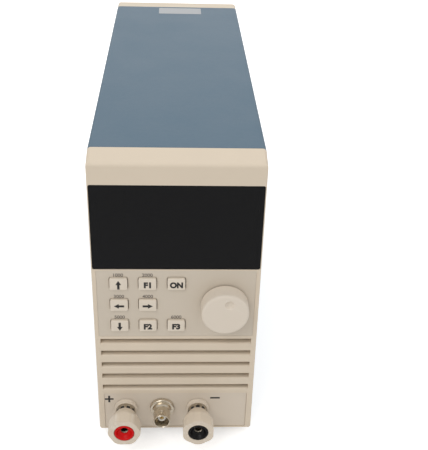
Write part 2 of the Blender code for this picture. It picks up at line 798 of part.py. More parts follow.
def make_front_bezel(material):
    """Cream moulding: sloping lip, window frame, key wall, slanted air slots, terminal frame."""
    half = body_width / 2
    bezel_y = (depth(0), depth(lip_depth))
    bezel = block("front_bezel", (-half, half), bezel_y, (level(0), level(body_height)), material)
    bm = bmesh.new()
    bm.from_mesh(bezel.data)
    for vert in bm.verts:
        if vert.co.y < 0:
            vert.co.x -= math.copysign(side_draft, vert.co.x)
            if vert.co.z > 0:
                vert.co.z -= lip_drop
    weight = bm.edges.layers.float.new("bevel_weight_edge")
    for edge in bm.edges:
        first, second = edge.verts
        if first.co.y > 0 and second.co.y > 0:
            continue
        lengthwise = first.co.y * second.co.y < 0
        top = first.co.z > 0 and second.co.z > 0
        if lengthwise:
            edge[weight] = 1.0
        elif top:
            edge[weight] = front_edge_radius / corner_radius
        else:
            edge[weight] = front_side_radius / corner_radius
    bm.to_mesh(bezel.data)
    bm.free()
    bevel = bezel.modifiers.new("Rounding", "BEVEL")
    bevel.width = corner_radius
    bevel.segments = corner_steps + 1
    bevel.limit_method = "WEIGHT"

    tongue_end = lip_depth + tongue_length
    tongue_height = body_height - 2 * tongue_bottom
    tongue_outline = rounded(rectangle(2 * tongue_half, tongue_height), corner_radius, corner_steps)
    tongue_middle = (0.0, depth((lip_depth - cut_reach + tongue_end) / 2), level(body_height / 2))
    tongue_reach = tongue_end - lip_depth + cut_reach
    join(bezel, flat_solid("bezel_tongue", [tongue_outline], tongue_reach, tongue_middle, FRONT))
    cavity_y = (depth(front_wall), depth(tongue_end + cut_reach))
    cavity_z = (level(cavity_bottom), level(cavity_top))
    cut(bezel, block("bezel_cavity", (-cavity_half, cavity_half), cavity_y, cavity_z))

    slot_foot = plate_top + slot_above_plate
    rib = slot_pitch - slot_opening
    louvre_x = (-cavity_half - cut_reach, cavity_half + cut_reach)
    louvre_z = (level(slot_foot - rib / 2), level(slot_top + slot_rise))
    join(bezel, block("louvre_block", louvre_x, (depth(front_wall - cut_reach), depth(slot_depth)), louvre_z))

    bosses = []
    for side in (-1, 1):
        x = side * (board_half - board_boss_radius)
        for height in (overlay_top - 2 * board_boss_radius, overlay_bottom + 1.5 * board_boss_radius):
            start = (x, depth(front_wall - cut_reach), level(height))
            bosses.append((start, (x, depth(board_front - seat_gap), level(height))))
        header = window_top + 2 * board_boss_radius
        start = (x, depth(front_wall - cut_reach), level(header))
        bosses.append((start, (x, depth(board_front - seat_gap), level(header))))
    join(bezel, rods("board_bosses", bosses, board_boss_radius, tiny_segments))

    window_middle = (window_top + window_bottom) / 2
    pocket = rounded(
        rectangle(window_width + 2 * panel_side_gap, window_height + 2 * panel_side_gap),
        window_corner + panel_side_gap,
        corner_steps,
    )
    pocket_back = window_back + seat_gap
    at = (0.0, depth((pocket_back - cut_reach) / 2), level(window_middle))
    cut(bezel, flat_solid("window_pocket", [pocket], pocket_back + cut_reach, at, FRONT))
    aperture_half = min(window_width / 2 - aperture_ledge, cavity_half - seat_gap)
    aperture_z = (level(window_bottom + aperture_ledge), level(window_top - aperture_ledge))
    through = (depth(-cut_reach), depth(front_wall + cut_reach))
    cut(bezel, block("window_aperture", (-aperture_half, aperture_half), through, aperture_z))

    pocket_x = (-overlay_width / 2 - panel_side_gap, overlay_width / 2 + panel_side_gap)
    pocket_z = (level(overlay_bottom - panel_side_gap), level(overlay_top + panel_side_gap))
    pocket_y = (depth(-cut_reach), depth(overlay_back + seat_gap))
    cut(bezel, block("overlay_pocket", pocket_x, pocket_y, pocket_z))
    for name, x, height in key_places():
        cut(bezel, key_hole("hole_for_" + name, x, height, front_wall + cut_reach))
    start = (knob_x, depth(-cut_reach), level(knob_height))
    end = (knob_x, depth(front_wall + cut_reach), level(knob_height))
    cut(bezel, rods("encoder_hole", [(start, end)], bush_radius + seat_gap, small_segments))

    for index in range(slot_count):
        top = slot_top - index * slot_pitch
        cut(bezel, air_slot("air_slot_%d" % (index + 1), top))

    pocket_x = (-plate_width / 2 - panel_side_gap, plate_width / 2 + panel_side_gap)
    pocket_z = (level(plate_bottom - panel_side_gap), level(plate_top + panel_side_gap))
    pocket_y = (depth(-cut_reach), depth(plate_back + seat_gap))
    cut(bezel, block("plate_pocket", pocket_x, pocket_y, pocket_z))
    opening_half = plate_width / 2 - plate_ledge
    opening_z = (level(plate_bottom + plate_ledge), level(plate_top - plate_ledge))
    cut(bezel, block("plate_opening", (-opening_half, opening_half), through, opening_z))


def key_hole(name, x, height, reach):
    """Cutter for one key's hole, a little larger than the key all round."""
    width = key_width + 2 * key_side_gap
    tall = key_height + 2 * key_side_gap
    outline = rounded(rectangle(width, tall), key_corner + key_side_gap, corner_steps)
    middle = (x, depth((reach - key_proud) / 2), level(height))
    return flat_solid(name, [outline], reach + key_proud, middle, FRONT)


def air_slot(name, top):
    """Cutter for one slot, which rises towards the back so that nothing falls in."""
    front = -cut_reach
    back = slot_depth + cut_reach
    slope = slot_rise / slot_depth
    outline = [
        (depth(front), level(top + slope * front)),
        (depth(front), level(top - slot_opening + slope * front)),
        (depth(back), level(top - slot_opening + slope * back)),
        (depth(back), level(top + slope * back)),
    ]
    return flat_solid(name, [outline], 2 * slot_half_width, (0.0, 0.0, 0.0), SIDE)


def make_rear_bezel(material):
    """Cream frame that closes the sleeve at the back and holds the rear panel's edge."""
    half = body_width / 2
    front = body_depth - rear_bezel_depth
    outline = rounded(rectangle(body_width, body_height), corner_radius)
    middle = (0.0, depth((front + body_depth) / 2), level(body_height / 2))
    bezel = flat_solid("rear_bezel", [outline], rear_bezel_depth, middle, FRONT, material)
    bm = bmesh.new()
    bm.from_mesh(bezel.data)
    rear_edges = []
    for edge in bm.edges:
        if all(vert.co.z < seat_gap - rear_bezel_depth / 2 for vert in edge.verts):
            if not edge.link_faces[0].normal.z < -0.9 or not edge.link_faces[1].normal.z < -0.9:
                rear_edges.append(edge)
    bevel_edges(bm, rear_edges, rear_edge_radius, rim_steps)
    bm.to_mesh(bezel.data)
    bm.free()

    tongue_height = body_height - 2 * tongue_bottom
    tongue_outline = rounded(rectangle(2 * tongue_half, tongue_height), corner_radius, corner_steps)
    tongue_middle = (0.0, depth(front + (cut_reach - tongue_length) / 2), level(body_height / 2))
    join(bezel, flat_solid("rear_tongue", [tongue_outline], tongue_length + cut_reach, tongue_middle, FRONT))
    cavity_y = (depth(front - tongue_length - cut_reach), depth(body_depth - rear_lip))
    cavity_z = (level(cavity_bottom), level(body_height - cavity_bottom))
    cut(bezel, block("rear_cavity", (-cavity_half, cavity_half), cavity_y, cavity_z))
    window_half = half - cover_wall - tongue_wall - seat_gap - rear_lip_inset
    window_low = cavity_bottom + rear_lip_inset / 2
    window_z = (level(window_low), level(body_height - cavity_bottom - rear_lip_inset))
    window_y = (depth(body_depth - rear_lip - cut_reach), depth(body_depth + cut_reach))
    cut(bezel, block("rear_window", (-window_half, window_half), window_y, window_z))


def make_rear_panel(material):
    """Steel plate with the fan's bore and the cut-outs of inlet, switch and serial socket."""
    half = cavity_half - seat_gap
    low = cavity_bottom + seat_gap
    high = body_height - cavity_bottom - seat_gap
    middle = (low + high) / 2
    outlines = [rounded(rectangle(2 * half, high - low), corner_radius)]
    outlines.append(circle(fan_bore_radius, large_segments, (0.0, fan_middle - middle)))
    inlet_hole = rectangle(inlet_body_width + 2 * seat_gap, inlet_body_height + 2 * seat_gap)
    outlines.append(shifted(inlet_hole, inlet_x, fan_top + inlet_above_fan - middle))
    switch_hole = rectangle(switch_body_width + 2 * seat_gap, switch_body_height + 2 * seat_gap)
    outlines.append(shifted(switch_hole, switch_x, fan_top + switch_above_fan - middle))
    serial_hole = rectangle(serial_body_width + 2 * seat_gap, serial_body_height + 2 * seat_gap)
    outlines.append(shifted(serial_hole, serial_x, fan_top + serial_above_fan - middle))
    for side_x in (-1, 1):
        for side_z in (-1, 1):
            x = side_x * (fan_size / 2 - fan_screw_inset)
            z = fan_middle + side_z * (fan_size / 2 - fan_screw_inset) - middle
            outlines.append(circle(fan_screw_hole_radius, tiny_segments, (x, z)))
    at = (0.0, depth((rear_panel_inner + rear_panel_outer) / 2), level(middle))
    flat_solid("rear_panel", outlines, rear_panel_thickness, at, FRONT, material)


def shifted(points, u, v):
    return [(point[0] + u, point[1] + v) for point in points]


def make_feet(material):
    """Tapered rubber feet with a screw dish underneath, against the tray's floor."""
    top = ground_clearance + tray_floor - seat_gap
    profile = [
        (0.0, top),
        (foot_top_radius, top),
        (foot_radius, foot_skirt),
        (foot_radius - foot_chamfer, 0.0),
        (foot_dish_radius, 0.0),
        (foot_dish_radius - foot_dish_draft, foot_dish),
        (0.0, foot_dish),
    ]
    ends = {"front": tray_front + foot_from_end, "rear": tray_rear - foot_from_end}
    for end, distance in ends.items():
        for side, sign in (("left", -1), ("right", 1)):
            at = (sign * foot_x, depth(distance), 0.0)
            turned("foot_%s_%s" % (end, side), profile, at, UP, small_segments, material=material)


def make_display(smoked, board_material):
    """Smoked window and, behind it, the board with three rows of digit modules."""
    outline = rounded(rectangle(window_width, window_height), window_corner)
    middle = (window_top + window_bottom) / 2
    at = (0.0, depth((window_recess + window_back) / 2), level(middle))
    flat_solid("display_window", [outline], window_thickness, at, FRONT, smoked)

    board_low = window_bottom + board_side_gap / 2
    board_high = window_top + 4 * board_boss_radius
    board_z = (level(board_low), level(board_high))
    board_y = (depth(board_front), depth(board_back))
    board = block("display_board", (-board_half, board_half), board_y, board_z, board_material)
    first = -window_width / 2 + digit_left_margin
    digits = []
    for row in range(digit_rows):
        height = middle + (row - (digit_rows - 1) / 2) * digit_pitch_z
        for column in range(digits_per_row):
            x = first + column * digit_pitch_x
            digit_y = (depth(window_back + digit_window_gap), depth(board_front + board_thickness / 2))
            digit_z = (level(height - digit_height / 2), level(height + digit_height / 2))
            digits.append(((x, x + digit_width), digit_y, digit_z))
    join(board, blocks("digit_modules", digits))
    header_middle = sum(post_x.values()) / len(post_x)
    header_x = (header_middle - header_length / 2, header_middle + header_length / 2)
    header_y = (depth(board_front + board_thickness / 2), depth(board_back + header_reach))
    header_z = (level(board_low + header_lift), level(board_low + header_lift + header_thickness))
    join(board, block("display_header", header_x, header_y, header_z))


def make_keypad(overlay_material, key_material, board_material):
    """Overlay sheet, eight flanged keys, and the board with a tact switch behind each key."""
    middle = (overlay_top + overlay_bottom) / 2
    outlines = [rectangle(overlay_width, overlay_height)]
    for name, x, height in key_places():
        hole = rectangle(key_width + 2 * key_side_gap, key_height + 2 * key_side_gap)
        outlines.append(shifted(rounded(hole, key_corner + key_side_gap, corner_steps), x, height - middle))
    outlines.append(circle(bush_radius + seat_gap, small_segments, (knob_x, 0.0)))
    at = (0.0, depth((overlay_recess + overlay_back) / 2), level(middle))
    flat_solid("control_overlay", outlines, overlay_thickness, at, FRONT, overlay_material)

    for name, x, height in key_places():
        make_key(name, x, height, key_material)

    board_z = (level(overlay_bottom + board_side_gap / 2), level(window_bottom - board_side_gap / 2))
    board_y = (depth(board_front), depth(board_back))
    board = block("key_board", (-board_half, board_half), board_y, board_z, board_material)
    bodies = []
    plungers = []
    for name, x, height in key_places():
        body_x = (x - tact_size / 2, x + tact_size / 2)
        body_y = (depth(tact_front + tact_plunger), depth(board_front + board_thickness / 2))
        body_z = (level(height - tact_size / 2), level(height + tact_size / 2))
        bodies.append((body_x, body_y, body_z))
        start = (x, depth(tact_front), level(height))
        plungers.append((start, (x, depth(board_front), level(height))))
    join(board, blocks("tact_bodies", bodies))
    join(board, rods("tact_plungers", plungers, tact_plunger_radius, tiny_segments))


def make_key(name, x, height, material):
    """One key: a rounded cap with softened front edges and a flange behind the bezel's wall."""
    outline = rounded(rectangle(key_width, key_height), key_corner, corner_steps)
    reach = key_proud + key_back
    at = (x, depth((key_back - key_proud) / 2), level(height))
    key = flat_solid(name, [outline], reach, at, FRONT, material)
    soften_front(key, reach, key_edge)
    flange_x = (x - key_width / 2 - key_flange, x + key_width / 2 + key_flange)
    flange_y = (depth(key_back - key_flange), depth(key_back))
    flange_z = (level(height - key_height / 2 - key_flange), level(height + key_height / 2 + key_flange))
    join(key, block(name + "_flange", flange_x, flange_y, flange_z))


def soften_front(thing, length, radius):
    """Rounds the rim of a flat solid's front face."""
    bm = bmesh.new()
    bm.from_mesh(thing.data)
    front = length / 2 - radius / 100
    rim = []
    for edge in bm.edges:
        if min(vert.co.z for vert in edge.verts) > front:
            if min(face.normal.z for face in edge.link_faces) < 0.9:
                rim.append(edge)
    bevel_edges(bm, rim, radius, 1)
    bm.to_mesh(thing.data)
    bm.free()


def make_knob(key_material, nickel, black):
    """Knob with an inner boss on the encoder's shaft, the encoder and its nut."""
    at = (knob_x, depth(0.0), level(knob_height))
    boss_foot = bush_front + 2 * seat_gap
    roof = knob_front - knob_face_wall
    bore = shaft_radius + seat_gap
    bore_top = knob_front - knob_bore_wall
    boss = bore + knob_boss_wall
    profile = [(0.0, knob_front)]
    profile += quarter_round((knob_front_radius - knob_rim, knob_front - knob_rim), knob_rim)
    profile += [
        (knob_radius, knob_hover + turned_chamfer),
        (knob_radius - turned_chamfer, knob_hover),
        (knob_radius - knob_wall, knob_hover),
        (knob_radius - knob_wall - knob_draft, roof),
        (boss, roof),
        (boss - knob_draft, boss_foot),
        (bore, boss_foot),
        (bore, bore_top),
        (0.0, bore_top),
    ]
    knob = turned("knob", profile, at, FRONT, large_segments, material=key_material)
    ball = (dimple_radius ** 2 + dimple_depth ** 2) / (2 * dimple_depth)
    opening = math.asin(dimple_radius / ball)
    bowl = [(0.0, cut_reach), (dimple_radius, cut_reach)]
    for step in range(rim_steps):
        angle = opening * (1 - step / rim_steps)
        bowl.append((ball * math.sin(angle), ball - dimple_depth - ball * math.cos(angle)))
    bowl.append((0.0, -dimple_depth))
    dimple_at = (knob_x + dimple_offset_x, depth(-knob_front), level(knob_height + dimple_offset_z))
    cut(knob, turned("knob_dimple", bowl, dimple_at, FRONT, small_segments))

    socket_end = -front_wall
    shaft_front = bore_top - seat_gap
    shaft_profile = [
        (0.0, shaft_front),
        (shaft_radius - turned_chamfer, shaft_front),
        (shaft_radius, shaft_front - turned_chamfer),
        (shaft_radius, socket_end),
        (0.0, socket_end),
    ]
    turned("encoder_shaft", shaft_profile, at, FRONT, small_segments, material=nickel)

    back = board_front - seat_gap
    floor = socket_end - seat_gap
    bush_profile = [
        (0.0, bush_front),
        (bush_radius - turned_chamfer, bush_front),
        (bush_radius, bush_front - turned_chamfer),
        (bush_radius, -(front_wall + seat_gap) - cut_reach),
        (0.0, -(front_wall + seat_gap) - cut_reach),
    ]
    body_x = (knob_x - encoder_size / 2, knob_x + encoder_size / 2)
    body_y = (depth(front_wall + seat_gap), depth(back))
    body_z = (level(knob_height - encoder_size / 2), level(knob_height + encoder_size / 2))
    encoder = block("encoder_body", body_x, body_y, body_z, black)
    join(encoder, turned("encoder_bush", bush_profile, at, FRONT, small_segments))
    mouth = (knob_x, depth(-bush_front - cut_reach), level(knob_height))
    hollow = (mouth, (knob_x, depth(-floor), level(knob_height)))
    cut(encoder, rods("encoder_bore", [hollow], bore, small_segments))

    nut_back = seat_gap - overlay_recess
    nut_middle = (knob_x, depth(-(nut_back + nut_thickness / 2)), level(knob_height))
    nut = [hexagon(nut_across), circle(bush_radius + seat_gap, small_segments)]
    flat_solid("encoder_nut", nut, nut_thickness, nut_middle, FRONT, nickel)


def make_terminal_plate(material):
    """Plate that carries the two posts and the bayonet socket."""
    middle = (plate_bottom + plate_top) / 2
    outlines = [rectangle(plate_width, plate_height)]
    for x in post_x.values():
        outlines.append(circle(stud_radius + seat_gap, small_segments, (x, terminal_height - middle)))
    outlines.append(circle(bayonet_radius + seat_gap, medium_segments, (bayonet_x, terminal_height - middle)))
    at = (0.0, depth((plate_recess + plate_back) / 2), level(middle))
    flat_solid("terminal_plate", outlines, plate_thickness, at, FRONT, material)


def make_post(name, x, turn, cream, nickel, brass, copper, ring_material):
    """One binding post: collar, stud, screw cap with its bush and coloured ring, nut, bus bar."""
    at = (x, depth(0.0), level(terminal_height))
    collar_back = seat_gap - plate_recess
    collar_profile = [
        (collar_front_radius - turned_chamfer, collar_length),
        (collar_front_radius, collar_length - turned_chamfer),
        (collar_radius, collar_back),
        (stud_radius + seat_gap, collar_back),
        (stud_radius + seat_gap, collar_length),
    ]
    turned(name + "_collar", collar_profile, at, FRONT, medium_segments, closed=True, material=cream)

    shoulder_back = collar_length + seat_gap
    shoulder_front = shoulder_back + stud_shoulder
    stud_front = cap_front - ring_thickness - seat_gap
    stud_rear = -(bar_behind_face + bar_thickness + stud_tail)
    stud_profile = [
        (socket_radius + socket_chamfer_width, stud_front),
        (stud_radius, stud_front - turned_chamfer),
        (stud_radius, shoulder_front),
        (stud_shoulder_radius, shoulder_front),
        (stud_shoulder_radius, shoulder_back),
        (stud_radius, shoulder_back),
        (stud_radius, stud_rear + turned_chamfer),
        (stud_radius - turned_chamfer, stud_rear),
        (0.0, stud_rear),
        (0.0, stud_front - socket_depth),
        (socket_radius, stud_front - socket_depth + socket_cone),
        (socket_radius, stud_front - socket_chamfer_width),
    ]
    outer_profile = stud_profile[9:] + stud_profile[:9]
    stud = turned(name + "_stud", outer_profile, at, FRONT, small_segments, material=nickel)
    wire_y = depth(-(shoulder_front + wire_hole_radius + wire_hole_lift))
    reach = stud_radius + cut_reach
    hole = ((x, wire_y, level(terminal_height - reach)), (x, wire_y, level(terminal_height + reach)))
    cut(stud, rods(name + "_wire_hole", [hole], wire_hole_radius, tiny_segments))

    cap_back = shoulder_front + seat_gap
    ring_seat = cap_front - ring_thickness - seat_gap
    bush_room = post_bush_radius + seat_gap
    ring_room = ring_radius + seat_gap
    flare = cap_back + cap_flare_start
    cap_profile = [(ring_room, cap_front)]
    cap_profile += quarter_round((cap_corner_radius - cap_edge, cap_front - cap_edge), cap_edge, 1)
    for step in range(cap_flare_steps + 1):
        share = 1 - step / cap_flare_steps
        swell = (1 - math.cos(math.pi * share)) / 2
        radius = cap_neck_radius + (cap_corner_radius - cap_neck_radius) * swell
        cap_profile.append((radius, flare + cap_flare_length * share))
    cap_profile += [
        (cap_neck_radius, cap_back + turned_chamfer),
        (cap_neck_radius - turned_chamfer, cap_back),
        (bush_room, cap_back),
        (bush_room, ring_seat),
        (ring_room, ring_seat),
    ]
    cap = turned(name + "_cap", cap_profile, at, FRONT, medium_segments, closed=True, material=cream)
    length = cap_front - cap_back + 2 * cut_reach
    prism_at = (x, depth(-(cap_front + cap_back) / 2), level(terminal_height))
    outline = rounded(hexagon(cap_across, turn), cap_flat_corner, 1)
    prism = flat_solid(name + "_cap_flats", [outline], length, prism_at, FRONT)
    boolean(cap, prism, "INTERSECT")

    ring_front = cap_front + ring_proud
    ring_profile = [
        (ring_radius - ring_chamfer, ring_front),
        (ring_radius, ring_front - ring_chamfer),
        (ring_radius, cap_front - ring_thickness),
        (ring_hole_radius, cap_front - ring_thickness),
        (ring_hole_radius, ring_front - ring_funnel),
        (ring_hole_radius + ring_funnel, ring_front),
    ]
    turned(name + "_ring", ring_profile, at, FRONT, medium_segments, closed=True, material=ring_material)

    bush_end = ring_seat - 2 * seat_gap
    bush_start = bush_end - post_bush_length
    bush_profile = [
        (post_bush_radius, bush_end),
        (post_bush_radius, bush_start),
        (stud_radius + seat_gap, bush_start),
        (stud_radius + seat_gap, bush_end),
    ]
    turned(name + "_bush", bush_profile, at, FRONT, small_segments, closed=True, material=brass)

    nut_front = plate_back + seat_gap
    nut_back = bar_behind_face - seat_gap
    nut = [hexagon(post_nut_across, turn), circle(stud_radius + seat_gap, small_segments)]
    nut_at = (x, depth((nut_front + nut_back) / 2), level(terminal_height))
    flat_solid(name + "_nut", nut, nut_back - nut_front, nut_at, FRONT, nickel)

    bar_top = power_board_top + seat_gap + bar_thickness
    bar_low = terminal_height - bar_foot
    path = [
        (bar_behind_face, bar_low),
        (bar_behind_face, bar_top),
        (power_board_front + bar_overlap, bar_top),
    ]
    path = rounded(path, bar_bend, closed=False)
    bar_at = (x, depth(0.0), level(0.0))
    bar = folded_sheet(name + "_bus_bar", path[::-1], bar_width, bar_thickness, bar_at, SIDE, copper)
    start = (x, depth(bar_behind_face - cut_reach), level(terminal_height))
    end = (x, depth(bar_behind_face + bar_thickness + cut_reach), level(terminal_height))
    cut(bar, rods(name + "_bar_hole", [(start, end)], stud_radius + seat_gap, small_segments))


def make_bayonet(nickel, white, brass):
    """Coaxial bayonet socket: body with two lugs, insulator, centre contact, nut."""
    at = (bayonet_x, depth(0.0), level(terminal_height))
    flange_back = seat_gap - plate_recess
    flange_front = flange_back + bayonet_flange
    floor = bayonet_front - bayonet_mouth_depth
    tail = -(plate_back + bayonet_tail)
    insulator_room = bayonet_insulator_radius + seat_gap
    profile = [
        (bayonet_radius - turned_chamfer / 2, bayonet_front),
        (bayonet_radius, bayonet_front - turned_chamfer / 2),
        (bayonet_radius, flange_front + bayonet_shoulder_length + bayonet_shoulder),
        (bayonet_radius + bayonet_shoulder, flange_front + bayonet_shoulder_length),
        (bayonet_radius + bayonet_shoulder, flange_front),
        (bayonet_flange_radius - turned_chamfer, flange_front),
        (bayonet_flange_radius, flange_front - turned_chamfer),
        (bayonet_flange_radius, flange_back),
        (bayonet_radius, flange_back),
        (bayonet_radius, tail),
        (insulator_room, tail),
        (insulator_room, floor),
        (bayonet_mouth_radius, floor),
        (bayonet_mouth_radius, bayonet_front),
    ]
    body = turned("bayonet_body", profile, at, FRONT, medium_segments, closed=True, material=nickel)
    lug_y = depth(-(bayonet_front - lug_behind_mouth))
    inner = (bayonet_radius + bayonet_mouth_radius) / 2
    outer = bayonet_radius + lug_height
    lugs = []
    for side in (-1, 1):
        start = (bayonet_x, lug_y, level(terminal_height + side * inner))
        lugs.append((start, (bayonet_x, lug_y, level(terminal_height + side * outer))))
    join(body, rods("bayonet_lugs", lugs, lug_radius, tiny_segments))

    insulator_front = bayonet_front - bayonet_insulator_inset
    contact_room = bayonet_contact_radius + seat_gap
    insulator_profile = [
        (bayonet_insulator_radius, insulator_front),
        (bayonet_insulator_radius, tail - bayonet_insulator_tail),
        (contact_room, tail - bayonet_insulator_tail),
        (contact_room, insulator_front),
    ]
    turned("bayonet_insulator", insulator_profile, at, FRONT, small_segments, closed=True, material=white)

    contact_front = insulator_front - turned_chamfer
    pocket = insulator_front - bayonet_contact_inset
    contact_rear = tail - bayonet_contact_tail
    contact_profile = [
        (0.0, pocket),
        (bayonet_contact_radius / 2, pocket),
        (bayonet_contact_radius / 2, contact_front),
        (bayonet_contact_radius, contact_front),
        (bayonet_contact_radius, contact_rear),
        (0.0, contact_rear),
    ]
    turned("bayonet_contact", contact_profile, at, FRONT, tiny_segments, material=brass)

    nut_front = plate_back + seat_gap
    nut = [hexagon(bayonet_nut_across), circle(bayonet_radius + seat_gap, medium_segments)]
    nut_at = (bayonet_x, depth(nut_front + bayonet_nut_thickness / 2), level(terminal_height))
    flat_solid("bayonet_nut", nut, bayonet_nut_thickness, nut_at, FRONT, nickel)


def comb_outline(half_width, base, height):
    """A finned extrusion's section: a base with fins that rise from it."""
    count = int((2 * half_width - fin_thickness) / fin_pitch) + 1
    first = -(count - 1) * fin_pitch / 2
    points = [(-half_width, 0.0), (half_width, 0.0), (half_width, base)]
    for index in reversed(range(count)):
        middle = first + index * fin_pitch
        right = min(middle + fin_thickness / 2, half_width)
        left = max(middle - fin_thickness / 2, -half_width)
        if half_width - right > seat_gap:
            points.append((right, base))
        points.append((right, height))
        points.append((left, height))
        if half_width + left > seat_gap:
            points.append((left, base))
    if first - fin_thickness / 2 + half_width > seat_gap:
        points.append((-half_width, base))
    return points


def make_heat_sinks(material):
    """Two finned extrusions, fin tips towards each other, that form the air tunnel."""
    length = heat_sink_rear - heat_sink_front
    half_height = (fan_top - tunnel_bottom - seat_gap) / 2
    outline = comb_outline(tunnel_half_width - seat_gap, heat_sink_base, half_height)
    y = depth((heat_sink_front + heat_sink_rear) / 2)
    flat_solid("heat_sink_lower", [outline], length, (0.0, y, level(tunnel_bottom)), FRONT, material)
    upper = [(u, -v) for u, v in outline]
    flat_solid("heat_sink_upper", [upper[::-1]], length, (0.0, y, level(fan_top)), FRONT, material)


def make_fan(black, steel):
    """Axial fan: square frame with a stator spider, a rotor of swept blades, a wire guard."""
    half = fan_size / 2
    centre_z = level(fan_middle)
    bore = circle(fan_bore_radius, large_segments)
    square = rounded(rectangle(fan_size, fan_size), fan_flange_corner, corner_steps)
    screw = half - fan_screw_inset
    holes = []
    for side_x in (-1, 1):
        for side_z in (-1, 1):
            holes.append(circle(fan_screw_hole_radius, tiny_segments, (side_x * screw, side_z * screw)))
    plates = {"rear": fan_rear - fan_flange / 2, "front": fan_front + fan_flange / 2}
    frame_at = (0.0, depth(plates["rear"]), centre_z)
    frame = flat_solid("fan_frame", [square, bore] + holes, fan_flange, frame_at, FRONT, black)
    front_at = (0.0, depth(plates["front"]), centre_z)
    join(frame, flat_solid("fan_front_flange", [square, bore] + holes, fan_flange, front_at, FRONT))
    tube_outer = half - fan_tube_inset
    tube_front = fan_front + fan_flange / 2
    tube_rear = fan_rear - fan_flange / 2
    tube_at = (0.0, depth((tube_front + tube_rear) / 2), centre_z)
    tube = [circle(tube_outer, large_segments), bore]
    join(frame, flat_solid("fan_tube", tube, tube_rear - tube_front, tube_at, FRONT))
    spider_y = (depth(fan_rear - fan_stator), depth(fan_rear - fan_spider_inset))
    arm = fan_spider_width / 2
    reach = fan_bore_radius + fan_wall / 2
    arms = block("fan_arm_across", (-reach, reach), spider_y, (centre_z - arm, centre_z + arm))
    join(frame, arms)
    join(frame, block("fan_arm_upright", (-arm, arm), spider_y, (centre_z - reach, centre_z + reach)))
    stator_at = (0.0, depth(fan_rear - fan_stator / 2), centre_z)
    stator = [circle(fan_hub_radius - fan_stator_inset, medium_segments)]
    join(frame, flat_solid("fan_stator_plate", stator, fan_stator, stator_at, FRONT))
    hub_rear = fan_rear - fan_stator - seat_gap
    hub_front = hub_rear - fan_hub_height
    pin_front = hub_front + fan_hub_wall + seat_gap
    pin = ((0.0, depth(pin_front), centre_z), (0.0, depth(fan_rear - fan_stator / 2), centre_z))
    join(frame, rods("fan_pin", [pin], fan_pin_radius, tiny_segments))

    bore_radius = fan_pin_radius + seat_gap
    boss_radius = bore_radius + fan_boss_wall
    roof = fan_hub_height - fan_hub_wall
    profile = [
        (0.0, fan_hub_height),
        (fan_hub_radius - fan_hub_chamfer, fan_hub_height),
        (fan_hub_radius, fan_hub_height - fan_hub_chamfer),
        (fan_hub_radius, 0.0),
        (fan_hub_radius - fan_hub_wall, 0.0),
        (fan_hub_radius - fan_hub_wall, roof),
        (boss_radius, roof),
        (boss_radius, 0.0),
        (bore_radius, 0.0),
        (bore_radius, roof),
        (0.0, roof),
    ]
    rotor_at = (0.0, depth(hub_rear), centre_z)
    rotor = turned("fan_rotor", profile, rotor_at, FRONT, large_segments, material=black)
    join(rotor, make_blades(rotor_at))
    make_guard(steel, screw, centre_z)


def make_blades(location):
    """Swept, twisted blades round the hub, each a thin shell with a pitch that eases outwards."""
    tip = fan_bore_radius - fan_tip_gap
    root = fan_hub_radius - fan_hub_wall / 2
    bm = bmesh.new()
    for blade in range(fan_blades):
        turn = 2 * math.pi * blade / fan_blades
        grid = []
        for row in range(blade_rows + 1):
            share = row / blade_rows
            radius = root + (tip - root) * share
            pitch = math.radians(blade_root_pitch + (blade_tip_pitch - blade_root_pitch) * share)
            sweep = math.radians(blade_sweep) * share
            line = []
            for column in range(blade_columns + 1):
                along = (column / blade_columns - 0.5) * blade_chord
                angle = turn + sweep + along * math.cos(pitch) / radius
                height = blade_middle + along * math.sin(pitch)
                line.append(bm.verts.new((radius * math.cos(angle), radius * math.sin(angle), height)))
            grid.append(line)
        for lower, upper in zip(grid, grid[1:]):
            for index in range(blade_columns):
                bm.faces.new((lower[index], lower[index + 1], upper[index + 1], upper[index]))
    mesh = bpy.data.meshes.new("fan_blades")
    bm.to_mesh(mesh)
    bm.free()
    blades = place("fan_blades", mesh, location, FRONT, None)
    solidify = blades.modifiers.new("Thickness", "SOLIDIFY")
    solidify.thickness = blade_thickness
    solidify.offset = 0.0
    return blades


def make_guard(material, screw, centre_z):
    """Wire finger guard: rings on two crossed wires that end in flat screw eyes."""
    wire_y = depth(rear_seat + guard_ring_stand * guard_wire_radius)
    at = (0.0, wire_y, centre_z)
    span = fan_bore_radius - guard_wire_radius - guard_inner_radius
    guard = None
    for index in range(guard_rings):
        radius = guard_inner_radius + span * index / (guard_rings - 1)
        name = "fan_guard" if index == 0 else "guard_ring_%d" % index
        profile = circle(guard_wire_radius, guard_wire_sides, (radius, 0.0), 90.0)[::-1]
        turns = small_segments + index * 4
        paint_for_ring = material if index == 0 else None
        ring = turned(name, profile, at, FRONT, turns, closed=True, material=paint_for_ring)
        if guard is None:
            guard = ring
        else:
            join(guard, ring)
    for index, side in enumerate((-1, 1)):
        lift = wire_y - guard_wire_drops[index] * guard_wire_radius
        ends = ((-side * screw, lift, centre_z - screw), (side * screw, lift, centre_z + screw))
        join(guard, rods("guard_wire_%d" % index, [ends], guard_wire_radius, guard_wire_sides))
    number = 0
    for side_x in (-1, 1):
        for side_z in (-1, 1):
            number += 1
            eye_at = (side_x * screw, wire_y, centre_z + side_z * screw)
            eye = [circle(guard_eye_radius, guard_eye_segments)]
            join(guard, flat_solid("guard_eye_%d" % number, eye, guard_eye_thickness, eye_at, FRONT))
            start = (side_x * screw, wire_y - cut_reach, centre_z + side_z * screw)
            end = (side_x * screw, wire_y + cut_reach, centre_z + side_z * screw)
            cut(guard, rods("guard_eye_hole_%d" % number, [(start, end)], guard_eye_hole, tiny_segments))


